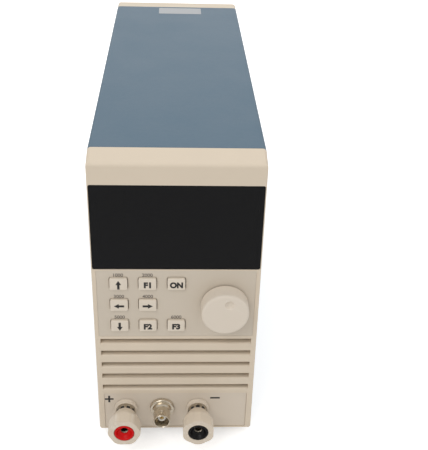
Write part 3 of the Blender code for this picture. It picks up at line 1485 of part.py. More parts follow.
def board_standoffs(board_front_y, board_rear_y, half_width):
    """X and depth of a board's four standoffs, a little in from its corners."""
    places = []
    for side in (-1, 1):
        for distance in (board_front_y + standoff_inset, board_rear_y - standoff_inset):
            places.append((side * (half_width - standoff_inset), distance))
    return places


def make_power_board(material):
    """Board over the tunnel, with power transistors under it that lie on the upper heat sink."""
    x = (-power_board_half_width, power_board_half_width)
    y = (depth(power_board_front), depth(power_board_rear))
    z = (level(power_board_bottom), level(power_board_top))
    board = block("power_board", x, y, z, material)
    inside_board = level(power_board_bottom + board_thickness / 2)
    seat = level(fan_top + seat_gap)
    packages = []
    legs = []
    for row in range(transistor_rows):
        middle = power_board_front + transistor_first + row * transistor_pitch
        for side in (-1, 1):
            centre = side * transistor_x
            box_x = (centre - transistor_width / 2, centre + transistor_width / 2)
            box_y = (depth(middle - transistor_length / 2), depth(middle + transistor_length / 2))
            packages.append((box_x, box_y, (seat, seat + transistor_thickness)))
            for pin in (-1, 0, 1):
                leg = centre + pin * leg_pitch
                leg_x = (leg - leg_width / 2, leg + leg_width / 2)
                leg_rear = depth(middle + transistor_length / 2) - leg_length
                leg_y = (leg_rear - leg_length, leg_rear)
                legs.append((leg_x, leg_y, (seat + transistor_thickness / 2, inside_board)))
    transistors = blocks("transistor_packages", packages)
    join(board, blocks("transistor_legs", legs))
    join(board, transistors)
    posts = []
    for post, distance in board_standoffs(power_board_front, power_board_rear, power_board_half_width):
        posts.append(((post, depth(distance), seat), (post, depth(distance), inside_board)))
    join(board, rods("power_standoffs", posts, standoff_radius, tiny_segments))
    cans = []
    middle = (power_board_front + power_board_rear) / 2
    top = power_board_top + capacitor_height
    for number in range(capacitor_count):
        step = number - (capacitor_count - 1) / 2
        y_can = depth(middle + step * (2 * capacitor_radius + capacitor_gap))
        cans.append(((0.0, y_can, inside_board), (0.0, y_can, level(top))))
    join(board, rods("power_capacitors", cans, capacitor_radius, small_segments))


def make_control_board(material):
    """Logic board on four tall standoffs over the power board."""
    x = (-control_board_half_width, control_board_half_width)
    y = (depth(control_board_front), depth(control_board_rear))
    z = (level(control_board_bottom), level(control_board_bottom + board_thickness))
    board = block("control_board", x, y, z, material)
    overlap = board_thickness / 2
    seat = level(power_board_top + seat_gap)
    posts = []
    first = power_board_front + bar_overlap + bar_to_standoff + standoff_radius - standoff_inset
    for post, distance in board_standoffs(first, power_board_rear, control_board_half_width):
        top = level(control_board_bottom) + overlap
        posts.append(((post, depth(distance), seat), (post, depth(distance), top)))
    join(board, rods("control_standoffs", posts, standoff_radius, tiny_segments))
    base = level(control_board_bottom + board_thickness) - overlap
    front = depth(control_board_front)
    row = front + processor_from_front
    strip = front + socket_strip_from_front
    right = control_board_half_width - memory_from_side
    left = relay_from_side - control_board_half_width
    processor_x = (-processor_size / 2, processor_size / 2)
    strip_x = (-socket_strip_length / 2, socket_strip_length / 2)
    components = [
        (processor_x, (row, row + processor_size), (base, base + chip_height)),
        ((right - memory_width, right), (row, row + memory_length), (base, base + chip_height)),
        ((left, left + relay_width), (row, row + relay_length), (base, base + relay_height)),
        (strip_x, (strip, strip + socket_strip_width), (base, base + socket_strip_height)),
    ]
    join(board, blocks("control_components", components))


def make_transformer(steel, core_material, tape):
    """Deck plate across the tray's walls, and the supply transformer that stands on it."""
    deck_x = (-tray_half, tray_half)
    deck_y = (depth(deck_front), depth(tray_rear))
    block("deck_plate", deck_x, deck_y, (level(deck_bottom), level(deck_top)), steel)
    base = deck_top + seat_gap
    half_w = core_width / 2
    window_w = (core_width - 4 * core_leg) / 2
    window_h = core_height - 2 * core_leg
    leg = core_leg
    outlines = [rectangle(core_width, core_height)]
    for side in (-1, 1):
        outlines.append(rectangle(window_w, window_h, (side * (leg + window_w / 2), 0.0)))
    y = depth(deck_front + core_from_deck_front)
    centre_z = level(base + core_height / 2)
    core = flat_solid("transformer_core", outlines, core_stack, (core_x, y, centre_z), FRONT, core_material)
    foot_reach = half_w + core_foot_reach
    foot_y = (y - core_stack / 2 + core_foot_inset, y + core_stack / 2 - core_foot_inset)
    foot_z = (level(base), level(base) + core_foot_thickness)
    join(core, block("transformer_foot", (core_x - foot_reach, core_x + foot_reach), foot_y, foot_z))

    outer = leg + window_w - seat_gap
    inner = leg + seat_gap
    depth_out = core_stack / 2 + winding_reach
    depth_in = core_stack / 2 + seat_gap
    winding = [
        rounded(rectangle(2 * outer, 2 * depth_out), winding_corner),
        rectangle(2 * inner, 2 * depth_in),
    ]
    height = window_h - 2 * seat_gap
    flat_solid("transformer_winding", winding, height, (core_x, y, centre_z), UP, tape)


def make_inlet(black):
    """Mains inlet with a keyed cavity and three contacts, and the fuse drawer below it."""
    height = fan_top + inlet_above_fan
    z = level(height)
    flange_at = (inlet_x, depth(rear_seat + inlet_flange / 2), z)
    outline = rectangle(inlet_body_width + 2 * inlet_rim, inlet_body_height + 2 * inlet_rim)
    outline = rounded(outline, inlet_corner)
    inlet = flat_solid("inlet_socket", [outline], inlet_flange, flange_at, FRONT, black)
    body_front = rear_seat - inlet_body_depth
    body_x = (inlet_x - inlet_body_width / 2, inlet_x + inlet_body_width / 2)
    body_z = (z - inlet_body_height / 2, z + inlet_body_height / 2)
    join(inlet, block("inlet_body", body_x, (depth(body_front), depth(rear_seat + inlet_flange / 2)), body_z))
    mouth = rear_seat + inlet_flange
    floor = mouth - socket_inside
    half_w = socket_width / 2
    half_h = socket_height / 2
    cavity = [
        (-half_w, -half_h),
        (half_w, -half_h),
        (half_w, half_h - socket_chamfer),
        (half_w - socket_chamfer, half_h),
        (-half_w + socket_chamfer, half_h),
        (-half_w, half_h - socket_chamfer),
    ]
    cavity = rounded(cavity, socket_corner, corner_steps)
    cavity_at = (inlet_x, depth((floor + mouth + cut_reach) / 2), z + socket_rise)
    cut(inlet, flat_solid("inlet_cavity", [cavity], mouth + cut_reach - floor, cavity_at, FRONT))
    contact_y = (depth(floor - cut_reach), depth(mouth - contact_inset))
    contacts = []
    for side, drop in ((-1, -1), (1, -1), (0, 1)):
        x = inlet_x + side * blade_spacing / 2
        middle = z + socket_rise + drop * blade_offset / 2
        contact_x = (x - contact_width / 2, x + contact_width / 2)
        contacts.append((contact_x, contact_y, (middle - contact_height / 2, middle + contact_height / 2)))
    join(inlet, blocks("inlet_contacts", contacts))
    well_x = (inlet_x - drawer_width / 2 - seat_gap, inlet_x + drawer_width / 2 + seat_gap)
    well_floor = mouth - drawer_length - 2 * seat_gap
    drawer_z = z - drawer_drop
    well_z = (drawer_z - drawer_well_height / 2, drawer_z + drawer_well_height / 2)
    cut(inlet, block("drawer_well", well_x, (depth(well_floor), depth(mouth + cut_reach)), well_z))

    drawer_front = mouth + drawer_proud
    drawer_x = (inlet_x - drawer_width / 2, inlet_x + drawer_width / 2)
    drawer_y = (depth(mouth - drawer_length), depth(drawer_front))
    drawer_range = (drawer_z - drawer_height / 2, drawer_z + drawer_height / 2)
    drawer = block("fuse_drawer", drawer_x, drawer_y, drawer_range, black)
    bay_x = (drawer_x[0] + drawer_wall, drawer_x[1] - drawer_wall)
    bay_y = (drawer_y[0] + drawer_wall, depth(mouth - drawer_front_wall))
    cut(drawer, block("fuse_bay", bay_x, bay_y, (drawer_range[0] + drawer_wall, drawer_range[1] + cut_reach)))
    notch_x = (inlet_x - notch_width / 2, inlet_x + notch_width / 2)
    notch_y = (depth(drawer_front - notch_floor), depth(drawer_front + cut_reach))
    notch_z = (drawer_range[1] - notch_height, drawer_range[1] + cut_reach)
    cut(drawer, block("drawer_notch", notch_x, notch_y, notch_z))


def make_power_switch(black):
    """Rocker switch: a flanged well with two bearing holes, and the rocker on its axle."""
    z = level(fan_top + switch_above_fan)
    flange_at = (switch_x, depth(rear_seat + switch_flange / 2), z)
    flange_width = max(switch_flange_width, switch_body_width + 2 * switch_rim)
    flange_height = max(switch_flange_height, switch_body_height + 2 * switch_rim)
    outline = rounded(rectangle(flange_width, flange_height), switch_corner)
    frame = flat_solid("switch_frame", [outline], switch_flange, flange_at, FRONT, black)
    body_x = (switch_x - switch_body_width / 2, switch_x + switch_body_width / 2)
    body_y = (depth(rear_seat - switch_body_depth), depth(rear_seat + switch_flange / 2))
    body_z = (z - switch_body_height / 2, z + switch_body_height / 2)
    join(frame, block("switch_body", body_x, body_y, body_z))
    well_half = rocker_radius + seat_gap
    well_x = (switch_x - rocker_width / 2 - seat_gap, switch_x + rocker_width / 2 + seat_gap)
    well_y = (depth(rocker_pivot - rocker_radius), depth(rear_seat + switch_flange + cut_reach))
    cut(frame, block("switch_well", well_x, well_y, (z - well_half, z + well_half)))
    reach = rocker_width / 2 + rocker_axle_reach
    start = (switch_x - reach - seat_gap, depth(rocker_pivot), z)
    end = (switch_x + reach + seat_gap, depth(rocker_pivot), z)
    cut(frame, rods("switch_bearing", [(start, end)], rocker_axle_radius + seat_gap, tiny_segments))

    low = math.radians(rocker_end_angle)
    high = math.atan2(rocker_crest, rocker_half_length)
    right = []
    for step in range(rocker_steps + 1):
        angle = high + (low - high) * step / rocker_steps
        right.append((rocker_radius * math.sin(angle), rocker_radius * math.cos(angle)))
    outline = [(rocker_valley, 0.0)] + right + [(-rocker_back * rocker_radius, 0.0)]
    outline += [(u, -v) for u, v in right[::-1]]
    at = (switch_x, depth(rocker_pivot), z)
    tilted = Matrix.Rotation(rocker_lean, 3, "X") @ Euler(SIDE).to_matrix()
    rocker = flat_solid("power_rocker", [outline], rocker_width, at, tilted.to_euler(), black)
    axle = [((switch_x - reach, at[1], z), (switch_x + reach, at[1], z))]
    join(rocker, rods("rocker_axle", axle, rocker_axle_radius, tiny_segments))


def make_serial_port(material):
    """Nine-way serial socket: flange, D-shaped shell, two jack posts, body behind the panel."""
    z = level(fan_top + serial_above_fan)
    flange_at = (serial_x, depth(rear_seat + serial_flange / 2), z)
    outline = rounded(rectangle(serial_flange_width, serial_flange_height), serial_corner, corner_steps)
    port = flat_solid("serial_port", [outline], serial_flange, flange_at, FRONT, material)
    half_h = serial_shell_height / 2
    shell = [
        (-serial_shell_foot / 2, -half_h),
        (serial_shell_foot / 2, -half_h),
        (serial_shell_width / 2, half_h),
        (-serial_shell_width / 2, half_h),
    ]
    shell = rounded(shell, serial_shell_corner)
    start = rear_seat + serial_flange / 2
    end = rear_seat + serial_flange + serial_shell
    shell_at = (serial_x, depth((start + end) / 2), z)
    join(port, flat_solid("serial_shell", [shell], end - start, shell_at, FRONT))
    jacks = []
    for side in (-1, 1):
        x = serial_x + side * jack_spacing / 2
        jacks.append(((x, depth(start), z), (x, depth(start + serial_flange / 2 + jack_length), z)))
    join(port, rods("serial_jacks", jacks, jack_radius, jack_sides))
    body_x = (serial_x - serial_body_width / 2, serial_x + serial_body_width / 2)
    body_y = (depth(rear_seat - serial_body_depth), depth(start))
    body_z = (z - serial_body_height / 2, z + serial_body_height / 2)
    join(port, block("serial_body", body_x, body_y, body_z))


clear_scene()
parts = new_collection("dc_electronic_load")
cutters = new_collection("cutters")
paint = make_materials()
make_top_cover(paint["blue"])
make_chassis_tray(paint["steel"])
make_front_bezel(paint["cream"])
make_rear_bezel(paint["cream"])
make_rear_panel(paint["steel"])
make_feet(paint["rubber"])
make_display(paint["smoked"], paint["board"])
make_keypad(paint["overlay"], paint["cream_keys"], paint["board"])
make_knob(paint["cream_keys"], paint["nickel"], paint["black"])
make_terminal_plate(paint["overlay"])
for post, ring_colour in (("positive", "red"), ("negative", "black")):
    make_post(
        post,
        post_x[post],
        post_turn[post],
        paint["cream_keys"],
        paint["nickel"],
        paint["brass"],
        paint["copper"],
        paint[ring_colour],
    )
make_bayonet(paint["nickel"], paint["white"], paint["brass"])
make_heat_sinks(paint["aluminium"])
make_fan(paint["black"], paint["steel"])
make_power_board(paint["board"])
make_control_board(paint["board"])
make_transformer(paint["steel"], paint["core"], paint["winding"])
make_inlet(paint["black"])
make_power_switch(paint["black"])
make_serial_port(paint["nickel"])
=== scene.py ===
"""Looks of a DC electronic load, a bench instrument in a blue steel sleeve with a cream front."""
import math

import bpy
from mathutils import Matrix, Vector


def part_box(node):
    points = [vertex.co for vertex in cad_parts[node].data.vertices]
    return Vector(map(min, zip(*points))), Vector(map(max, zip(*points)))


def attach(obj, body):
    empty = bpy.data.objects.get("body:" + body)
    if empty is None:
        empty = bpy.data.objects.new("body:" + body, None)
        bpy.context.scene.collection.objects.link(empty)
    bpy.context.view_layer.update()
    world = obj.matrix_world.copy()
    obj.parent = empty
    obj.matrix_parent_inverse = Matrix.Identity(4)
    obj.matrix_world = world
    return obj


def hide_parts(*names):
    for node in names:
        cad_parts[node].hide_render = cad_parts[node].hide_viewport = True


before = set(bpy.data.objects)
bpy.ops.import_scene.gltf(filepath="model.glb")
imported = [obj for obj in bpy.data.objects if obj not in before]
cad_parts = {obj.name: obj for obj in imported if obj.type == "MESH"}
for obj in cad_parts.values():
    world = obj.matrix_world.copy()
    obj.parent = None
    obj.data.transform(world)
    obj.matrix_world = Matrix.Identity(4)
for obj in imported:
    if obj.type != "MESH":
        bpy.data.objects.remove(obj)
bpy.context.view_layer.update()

# The photographer's table: a wide white top, a camera that looks down at the front from about half
# a metre, and soft lamps over it and beside it. None of it belongs to the instrument.
mm = 0.001
camera_place = Vector((-1.54, -486.27, 359.32)) * mm
camera_pitch = math.radians(30.723)
camera_yaw = math.radians(3.318)
camera_roll = math.radians(-1.983)
camera_lens = 65.32
forward = Vector((math.sin(camera_yaw), math.cos(camera_yaw), -math.tan(camera_pitch))).normalized()
level_right = Vector((math.cos(camera_yaw), -math.sin(camera_yaw), 0.0))
level_down = forward.cross(level_right)
rolled_right = math.cos(camera_roll) * level_right + math.sin(camera_roll) * level_down
rolled_down = math.cos(camera_roll) * level_down - math.sin(camera_roll) * level_right
camera_turn = Matrix((rolled_right, -rolled_down, -forward)).transposed()
bpy.ops.object.select_all(action="DESELECT")
bpy.ops.object.camera_add(location=camera_place, rotation=camera_turn.to_euler())
camera = bpy.context.object
camera.name = "photo_camera"
camera.data.lens = camera_lens
camera.data.shift_x = -0.0012
camera.data.shift_y = 0.0012
camera.data.clip_start = 10 * mm
bpy.context.scene.camera = camera
bpy.context.scene.view_settings.view_transform = "Standard"


def tint(red, green, blue):
    """A colour as a screen shows it, 0 to 255, turned into the light that a shader works with."""
    return [((value / 255 + 0.055) / 1.055) ** 2.4 if value > 10 else value / 3295 for value in (red, green, blue)]


def hang_lamp(name, place, aim, width, power):
    """A square soft lamp that looks at a point."""
    place = Vector(place)
    bpy.ops.object.select_all(action="DESELECT")
    turn = (Vector(aim) - place).to_track_quat("-Z", "Y").to_euler()
    bpy.ops.object.light_add(type="AREA", location=place, rotation=turn)
    lamp = bpy.context.object
    lamp.name = name
    lamp.data.size = width
    lamp.data.energy = power


hang_lamp("lamp_overhead", (0.1, 0.15, 1.5), (0.0, 0.0, 0.1), 1.4, 4.9)
hang_lamp("lamp_front", (-0.7, -1.2, 1.5), (0.0, -0.1, 0.1), 0.9, 9.0)
hang_lamp("lamp_right", (1.5, -0.4, 0.9), (0.0, 0.0, 0.1), 1.0, 1.6)
hang_lamp("lamp_behind", (0.0, 1.7, 0.45), (0.0, 0.0, 0.2), 1.2, 4.4)

room_light = 0.23
world = bpy.data.worlds.new("white_room")
world.use_nodes = True
bpy.context.scene.world = world
room = world.node_tree
background = room.nodes["Background"]
background.inputs["Color"].default_value = (1.0, 1.0, 1.0, 1.0)
light_path = room.nodes.new("ShaderNodeLightPath")
seen = None
for ray in ("Is Camera Ray", "Is Transmission Ray"):
    add = room.nodes.new("ShaderNodeMath")
    add.operation = "MAXIMUM"
    room.links.new(light_path.outputs[ray], add.inputs[0])
    if seen:
        room.links.new(seen, add.inputs[1])
    seen = add.outputs[0]
level = room.nodes.new("ShaderNodeMapRange")
level.inputs["To Min"].default_value = room_light
level.inputs["To Max"].default_value = 1.0
room.links.new(seen, level.inputs["Value"])
room.links.new(level.outputs["Result"], background.inputs["Strength"])

table_paint = bpy.data.materials.new("white_table")
table_paint.use_nodes = True
table_nodes = table_paint.node_tree.nodes
table_links = table_paint.node_tree.links
table_shader = table_nodes["Principled BSDF"]
table_shader.inputs["Base Color"].default_value = (0.86, 0.86, 0.86, 1.0)
table_shader.inputs["Roughness"].default_value = 0.7
table_shader.inputs["Emission Color"].default_value = (1.0, 1.0, 1.0, 1.0)
table_path = table_nodes.new("ShaderNodeLightPath")
table_lift = table_nodes.new("ShaderNodeMath")
table_lift.operation = "MULTIPLY"
table_lift.inputs[1].default_value = 0.5
table_links.new(table_path.outputs["Is Camera Ray"], table_lift.inputs[0])
table_links.new(table_lift.outputs[0], table_shader.inputs["Emission Strength"])
bpy.ops.mesh.primitive_plane_add(size=12.0, location=(0.0, 0.0, 0.0))
table_top = bpy.context.object
table_top.name = "table_top"
table_top.data.materials.append(table_paint)

# The sleeve is one sheet of steel, folded to an upside-down U with two lips turned in underneath,
# and sprayed with a fine-grained blue-grey paint. Four countersunk screws hold it to the tray.
front_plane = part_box("front_bezel")[0].y
case_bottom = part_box("front_bezel")[0].z
sleeve_low, sleeve_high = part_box("top_cover")
sleeve_sheet = 1.2 * mm
sleeve_bend = 2.0 * mm
sleeve_lip = 6.0 * mm
sleeve_screw_radius = 2.9 * mm
sleeve_screw_inset = 22.0 * mm
sleeve_screw_height = 12.0 * mm


def only(piece):
    """Nothing but this piece is selected, and it is the active one."""
    bpy.ops.object.select_all(action="DESELECT")
    piece.select_set(True)
    bpy.context.view_layer.objects.active = piece


def new_block(name, low, high):
    """A cube primitive between two corners, with its size and place in its mesh."""
    low = Vector(low)
    high = Vector(high)
    bpy.ops.object.select_all(action="DESELECT")
    bpy.ops.mesh.primitive_cube_add(size=1.0, location=(low + high) / 2)
    piece = bpy.context.object
    piece.name = name
    piece.scale = high - low
    bpy.ops.object.transform_apply(location=True, rotation=True, scale=True)
    return piece


def pick_faces(piece, wanted):
    """Edit mode, with only the faces selected whose centre and normal pass the test."""
    only(piece)
    mesh = piece.data
    mesh.vertices.foreach_set("select", [False] * len(mesh.vertices))
    mesh.edges.foreach_set("select", [False] * len(mesh.edges))
    mesh.polygons.foreach_set("select", [bool(wanted(face.center, face.normal)) for face in mesh.polygons])
    bpy.context.tool_settings.mesh_select_mode = (False, False, True)
    bpy.ops.object.mode_set(mode="EDIT")


def pick_edges(piece, wanted):
    """Edit mode, with only the edges selected whose two ends pass the test."""
    only(piece)
    mesh = piece.data
    mesh.vertices.foreach_set("select", [False] * len(mesh.vertices))
    mesh.polygons.foreach_set("select", [False] * len(mesh.polygons))
    for edge in mesh.edges:
        first, second = edge.vertices
        edge.select = bool(wanted(mesh.vertices[first].co, mesh.vertices[second].co))
    bpy.context.tool_settings.mesh_select_mode = (False, True, False)
    bpy.ops.object.mode_set(mode="EDIT")


def back_to_object():
    bpy.ops.object.mode_set(mode="OBJECT")


def apply_modifier(piece, kind, **settings):
    """Adds one modifier with these settings and applies it."""
    only(piece)
    modifier = piece.modifiers.new(kind.title(), kind)
    for setting, value in settings.items():
        setattr(modifier, setting, value)
    bpy.ops.object.modifier_apply(modifier=modifier.name)


def carve(piece, tool, operation="DIFFERENCE"):
    """Cuts a tool out of a piece, or joins or intersects them, and takes the tool away."""
    apply_modifier(piece, "BOOLEAN", operation=operation, solver="EXACT", object=tool)
    bpy.data.objects.remove(tool)
    return piece


def soften(piece, width, segments=2, angle=35.0):
    """Rounds every sharp edge a little, as a mould, a press or a file leaves it."""
    apply_modifier(
        piece,
        "BEVEL",
        width=width,
        segments=segments,
        limit_method="ANGLE",
        angle_limit=math.radians(angle),
        miter_outer="MITER_ARC",
    )
    only(piece)
    bpy.ops.object.shade_smooth_by_angle(angle=math.radians(50.0))
    apply_modifier(piece, "WEIGHTED_NORMAL", keep_sharp=True)
    return piece


def finish(piece, body, slot, material, *solids):
    """The piece's paint, the body that carries it, and the solids that it stands for."""
    piece.data.materials.clear()
    piece.data.materials.append(material)
    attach(piece, body)
    if solids:
        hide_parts(*solids)
    return piece


def new_group(name, inputs, outputs):
    """An empty effect with named sockets. Inputs are (name, kind, value), outputs (name, kind)."""
    group = bpy.data.node_groups.new(name, "ShaderNodeTree")
    for label, kind, value in inputs:
        socket = group.interface.new_socket(label, in_out="INPUT", socket_type=kind)
        socket.default_value = value
    for label, kind in outputs:
        group.interface.new_socket(label, in_out="OUTPUT", socket_type=kind)
    return group, group.nodes.new("NodeGroupInput"), group.nodes.new("NodeGroupOutput")


# Grain: fine bumps of one size, with a slow drift of colour and of gloss under them.
grain, grain_in, grain_out = new_group(
    "grain",
    [
        ("Colour", "NodeSocketColor", (0.5, 0.5, 0.5, 1.0)),
        ("Grains per metre", "NodeSocketFloat", 2500.0),
        ("Drift", "NodeSocketFloat", 0.06),
        ("Drifts per metre", "NodeSocketFloat", 60.0),
        ("Roughness", "NodeSocketFloat", 0.5),
        ("Roughness spread", "NodeSocketFloat", 0.08),
    ],
    [("Colour", "NodeSocketColor"), ("Roughness", "NodeSocketFloat"), ("Height", "NodeSocketFloat")],
)
grain_place = grain.nodes.new("ShaderNodeTexCoord")
grain_fine = grain.nodes.new("ShaderNodeTexNoise")
grain_fine.inputs["Detail"].default_value = 2.0
grain_slow = grain.nodes.new("ShaderNodeTexNoise")
grain_slow.inputs["Detail"].default_value = 3.0
grain.links.new(grain_place.outputs["Object"], grain_fine.inputs["Vector"])
grain.links.new(grain_place.outputs["Object"], grain_slow.inputs["Vector"])
grain.links.new(grain_in.outputs["Grains per metre"], grain_fine.inputs["Scale"])
grain.links.new(grain_in.outputs["Drifts per metre"], grain_slow.inputs["Scale"])
grain_blend = grain.nodes.new("ShaderNodeMath")
grain_blend.operation = "ADD"
grain.links.new(grain_fine.outputs["Fac"], grain_blend.inputs[0])
grain.links.new(grain_slow.outputs["Fac"], grain_blend.inputs[1])
grain_shift = grain.nodes.new("ShaderNodeMath")
grain_shift.operation = "SUBTRACT"
grain_shift.inputs[1].default_value = 1.0
grain.links.new(grain_blend.outputs[0], grain_shift.inputs[0])
grain_gain = grain.nodes.new("ShaderNodeMath")
grain_gain.operation = "MULTIPLY_ADD"
grain_gain.inputs[2].default_value = 1.0
grain.links.new(grain_shift.outputs[0], grain_gain.inputs[0])
grain.links.new(grain_in.outputs["Drift"], grain_gain.inputs[1])
grain_paint = grain.nodes.new("ShaderNodeVectorMath")
grain_paint.operation = "SCALE"
grain.links.new(grain_in.outputs["Colour"], grain_paint.inputs[0])
grain.links.new(grain_gain.outputs[0], grain_paint.inputs["Scale"])
grain_gloss = grain.nodes.new("ShaderNodeMath")
grain_gloss.operation = "MULTIPLY_ADD"
grain.links.new(grain_shift.outputs[0], grain_gloss.inputs[0])
grain.links.new(grain_in.outputs["Roughness spread"], grain_gloss.inputs[1])
grain.links.new(grain_in.outputs["Roughness"], grain_gloss.inputs[2])
grain.links.new(grain_paint.outputs[0], grain_out.inputs["Colour"])
grain.links.new(grain_gloss.outputs[0], grain_out.inputs["Roughness"])
grain.links.new(grain_fine.outputs["Fac"], grain_out.inputs["Height"])

# Rubbed edges: a mask of the places where a corner sticks out, broken up by small scratches.
rubbed, rubbed_in, rubbed_out = new_group(
    "rubbed_edges",
    [("Amount", "NodeSocketFloat", 0.5), ("Threshold", "NodeSocketFloat", 0.54)],
    [("Mask", "NodeSocketFloat")],
)
rubbed_shape = rubbed.nodes.new("ShaderNodeNewGeometry")
rubbed_place = rubbed.nodes.new("ShaderNodeTexCoord")
rubbed_noise = rubbed.nodes.new("ShaderNodeTexNoise")
rubbed_noise.inputs["Scale"].default_value = 350.0
rubbed_noise.inputs["Detail"].default_value = 4.0
rubbed.links.new(rubbed_place.outputs["Object"], rubbed_noise.inputs["Vector"])
rubbed_top = rubbed.nodes.new("ShaderNodeMath")
rubbed_top.operation = "ADD"
rubbed_top.inputs[1].default_value = 0.05
rubbed.links.new(rubbed_in.outputs["Threshold"], rubbed_top.inputs[0])
rubbed_range = rubbed.nodes.new("ShaderNodeMapRange")
rubbed.links.new(rubbed_shape.outputs["Pointiness"], rubbed_range.inputs["Value"])
rubbed.links.new(rubbed_in.outputs["Threshold"], rubbed_range.inputs["From Min"])
rubbed.links.new(rubbed_top.outputs[0], rubbed_range.inputs["From Max"])
rubbed_broken = rubbed.nodes.new("ShaderNodeMath")
rubbed_broken.operation = "MULTIPLY"
rubbed.links.new(rubbed_range.outputs["Result"], rubbed_broken.inputs[0])
rubbed.links.new(rubbed_noise.outputs["Fac"], rubbed_broken.inputs[1])
rubbed_amount = rubbed.nodes.new("ShaderNodeMath")
rubbed_amount.operation = "MULTIPLY"
rubbed.links.new(rubbed_broken.outputs[0], rubbed_amount.inputs[0])
rubbed.links.new(rubbed_in.outputs["Amount"], rubbed_amount.inputs[1])
rubbed.links.new(rubbed_amount.outputs[0], rubbed_out.inputs["Mask"])


def new_material(name, roughness, metallic=0.0, coat=0.0, reflectance=1.5):
    """A material with one Principled shader, and its node tree."""
    material = bpy.data.materials.new(name)
    material.use_nodes = True
    shader = material.node_tree.nodes["Principled BSDF"]
    shader.inputs["Roughness"].default_value = roughness
    shader.inputs["Metallic"].default_value = metallic
    shader.inputs["Coat Weight"].default_value = coat
    shader.inputs["IOR"].default_value = reflectance
    return material, shader, material.node_tree


def add_grain(tree, shader, colour, roughness, size, depth, drift=0.05, spread=0.08, patches=60.0):
    """The grain group, wired to a shader's colour, roughness and bump. Size and depth are in metres."""
    node = tree.nodes.new("ShaderNodeGroup")
    node.node_tree = grain
    node.inputs["Colour"].default_value = (*colour, 1.0)
    node.inputs["Grains per metre"].default_value = 1.0 / size
    node.inputs["Drift"].default_value = drift
    node.inputs["Drifts per metre"].default_value = patches
    node.inputs["Roughness"].default_value = roughness
    node.inputs["Roughness spread"].default_value = spread
    bump = tree.nodes.new("ShaderNodeBump")
    bump.inputs["Strength"].default_value = 1.0
    bump.inputs["Distance"].default_value = depth
    tree.links.new(node.outputs["Colour"], shader.inputs["Base Color"])
    tree.links.new(node.outputs["Roughness"], shader.inputs["Roughness"])
    tree.links.new(node.outputs["Height"], bump.inputs["Height"])
    tree.links.new(bump.outputs["Normal"], shader.inputs["Normal"])
    return node


def add_rubbing(tree, shader, worn, amount, threshold=0.54):
    """Mixes a worn colour over whatever feeds the shader's colour, on the edges that stick out."""
    node = tree.nodes.new("ShaderNodeGroup")
    node.node_tree = rubbed
    node.inputs["Amount"].default_value = amount
    node.inputs["Threshold"].default_value = threshold
    mix = tree.nodes.new("ShaderNodeMix")
    mix.data_type = "RGBA"
    under = shader.inputs["Base Color"].links[0].from_socket
    mix.inputs["B"].default_value = (*worn, 1.0)
    tree.links.new(node.outputs["Mask"], mix.inputs["Factor"])
    tree.links.new(under, mix.inputs["A"])
    tree.links.new(mix.outputs["Result"], shader.inputs["Base Color"])


sleeve_blue = tint(72, 100, 119)
blue_paint, blue_shader, blue_tree = new_material("blue_sleeve_paint", 0.4)
add_grain(blue_tree, blue_shader, sleeve_blue, 0.5, 0.45 * mm, 0.03 * mm, 0.07, 0.12, 45.0)
add_rubbing(blue_tree, blue_shader, tint(150, 166, 176), 0.5)

sleeve = new_block("blue_sleeve", sleeve_low, sleeve_high)
pick_faces(sleeve, lambda centre, normal: abs(normal.y) > 0.9)
bpy.ops.mesh.delete(type="ONLY_FACE")
back_to_object()
for side in (-1, 1):
    pick_faces(sleeve, lambda centre, normal: normal.z < -0.9)
    lip_end = side * (sleeve_high.x - sleeve_lip)
    bpy.ops.mesh.bisect(plane_co=(lip_end, 0.0, 0.0), plane_no=(1.0, 0.0, 0.0))
    back_to_object()
pick_faces(sleeve, lambda centre, normal: normal.z < -0.9 and abs(centre.x) < sleeve_lip)
bpy.ops.mesh.delete(type="FACE")
back_to_object()
pick_edges(sleeve, lambda first, second: abs(first.x) > sleeve_high.x - 0.1 * mm and abs(first.y - second.y) > 0.1)
bpy.ops.mesh.bevel(offset=sleeve_bend, segments=8, affect="EDGES")
back_to_object()
apply_modifier(sleeve, "SOLIDIFY", thickness=sleeve_sheet, offset=-1.0, use_even_offset=True)
sleeve_screws = []
for side in (-1, 1):
    for along in (sleeve_low.y + sleeve_screw_inset, sleeve_high.y - sleeve_screw_inset):
        spot = Vector((side * sleeve_high.x, along, sleeve_low.z + sleeve_screw_height))
        sleeve_screws.append((side, spot))
        bpy.ops.object.select_all(action="DESELECT")
        bpy.ops.mesh.primitive_cone_add(
            vertices=32,
            radius1=sleeve_screw_radius + 1.0 * mm,
            radius2=sleeve_screw_radius - 1.0 * mm,
            depth=2.0 * mm,
            location=spot,
            rotation=(0.0, -side * math.radians(90), 0.0),
        )
        carve(sleeve, bpy.context.object)
soften(sleeve, 0.25 * mm)
finish(sleeve, "case", "blue_paint", blue_paint, "top_cover")

# A blank paper label lies on the sleeve's top near the back, where an instrument carries its number.
label_low = Vector((-13.4, -129.1 + 244.6, 0.0)) * mm
label_high = Vector((17.9, -129.1 + 259.2, 0.0)) * mm
label_thickness = 0.12 * mm
label_corner = 0.8 * mm


def round_along(piece, axis, radius, segments=6):
    """Rounds the corners of a block, seen along one axis."""
    across = [index for index in range(3) if index != axis]

    def runs_along(first, second):
        return all(abs(first[index] - second[index]) < 0.01 * mm for index in across)

    pick_edges(piece, runs_along)
    bpy.ops.mesh.bevel(offset=radius, segments=segments, affect="EDGES")
    back_to_object()


label_paper, label_shader, label_tree = new_material("label_paper", 0.6)
add_grain(label_tree, label_shader, tint(178, 180, 182), 0.6, 0.2 * mm, 0.01 * mm, 0.06, 0.1, 80.0)
label_low.z = sleeve_high.z - 0.02 * mm
label_high.z = sleeve_high.z + label_thickness
label = new_block("blank_label", label_low, label_high)
round_along(label, 2, label_corner, 4)
soften(label, 0.03 * mm, 1)
finish(label, "case", "overlay_sheet", label_paper)

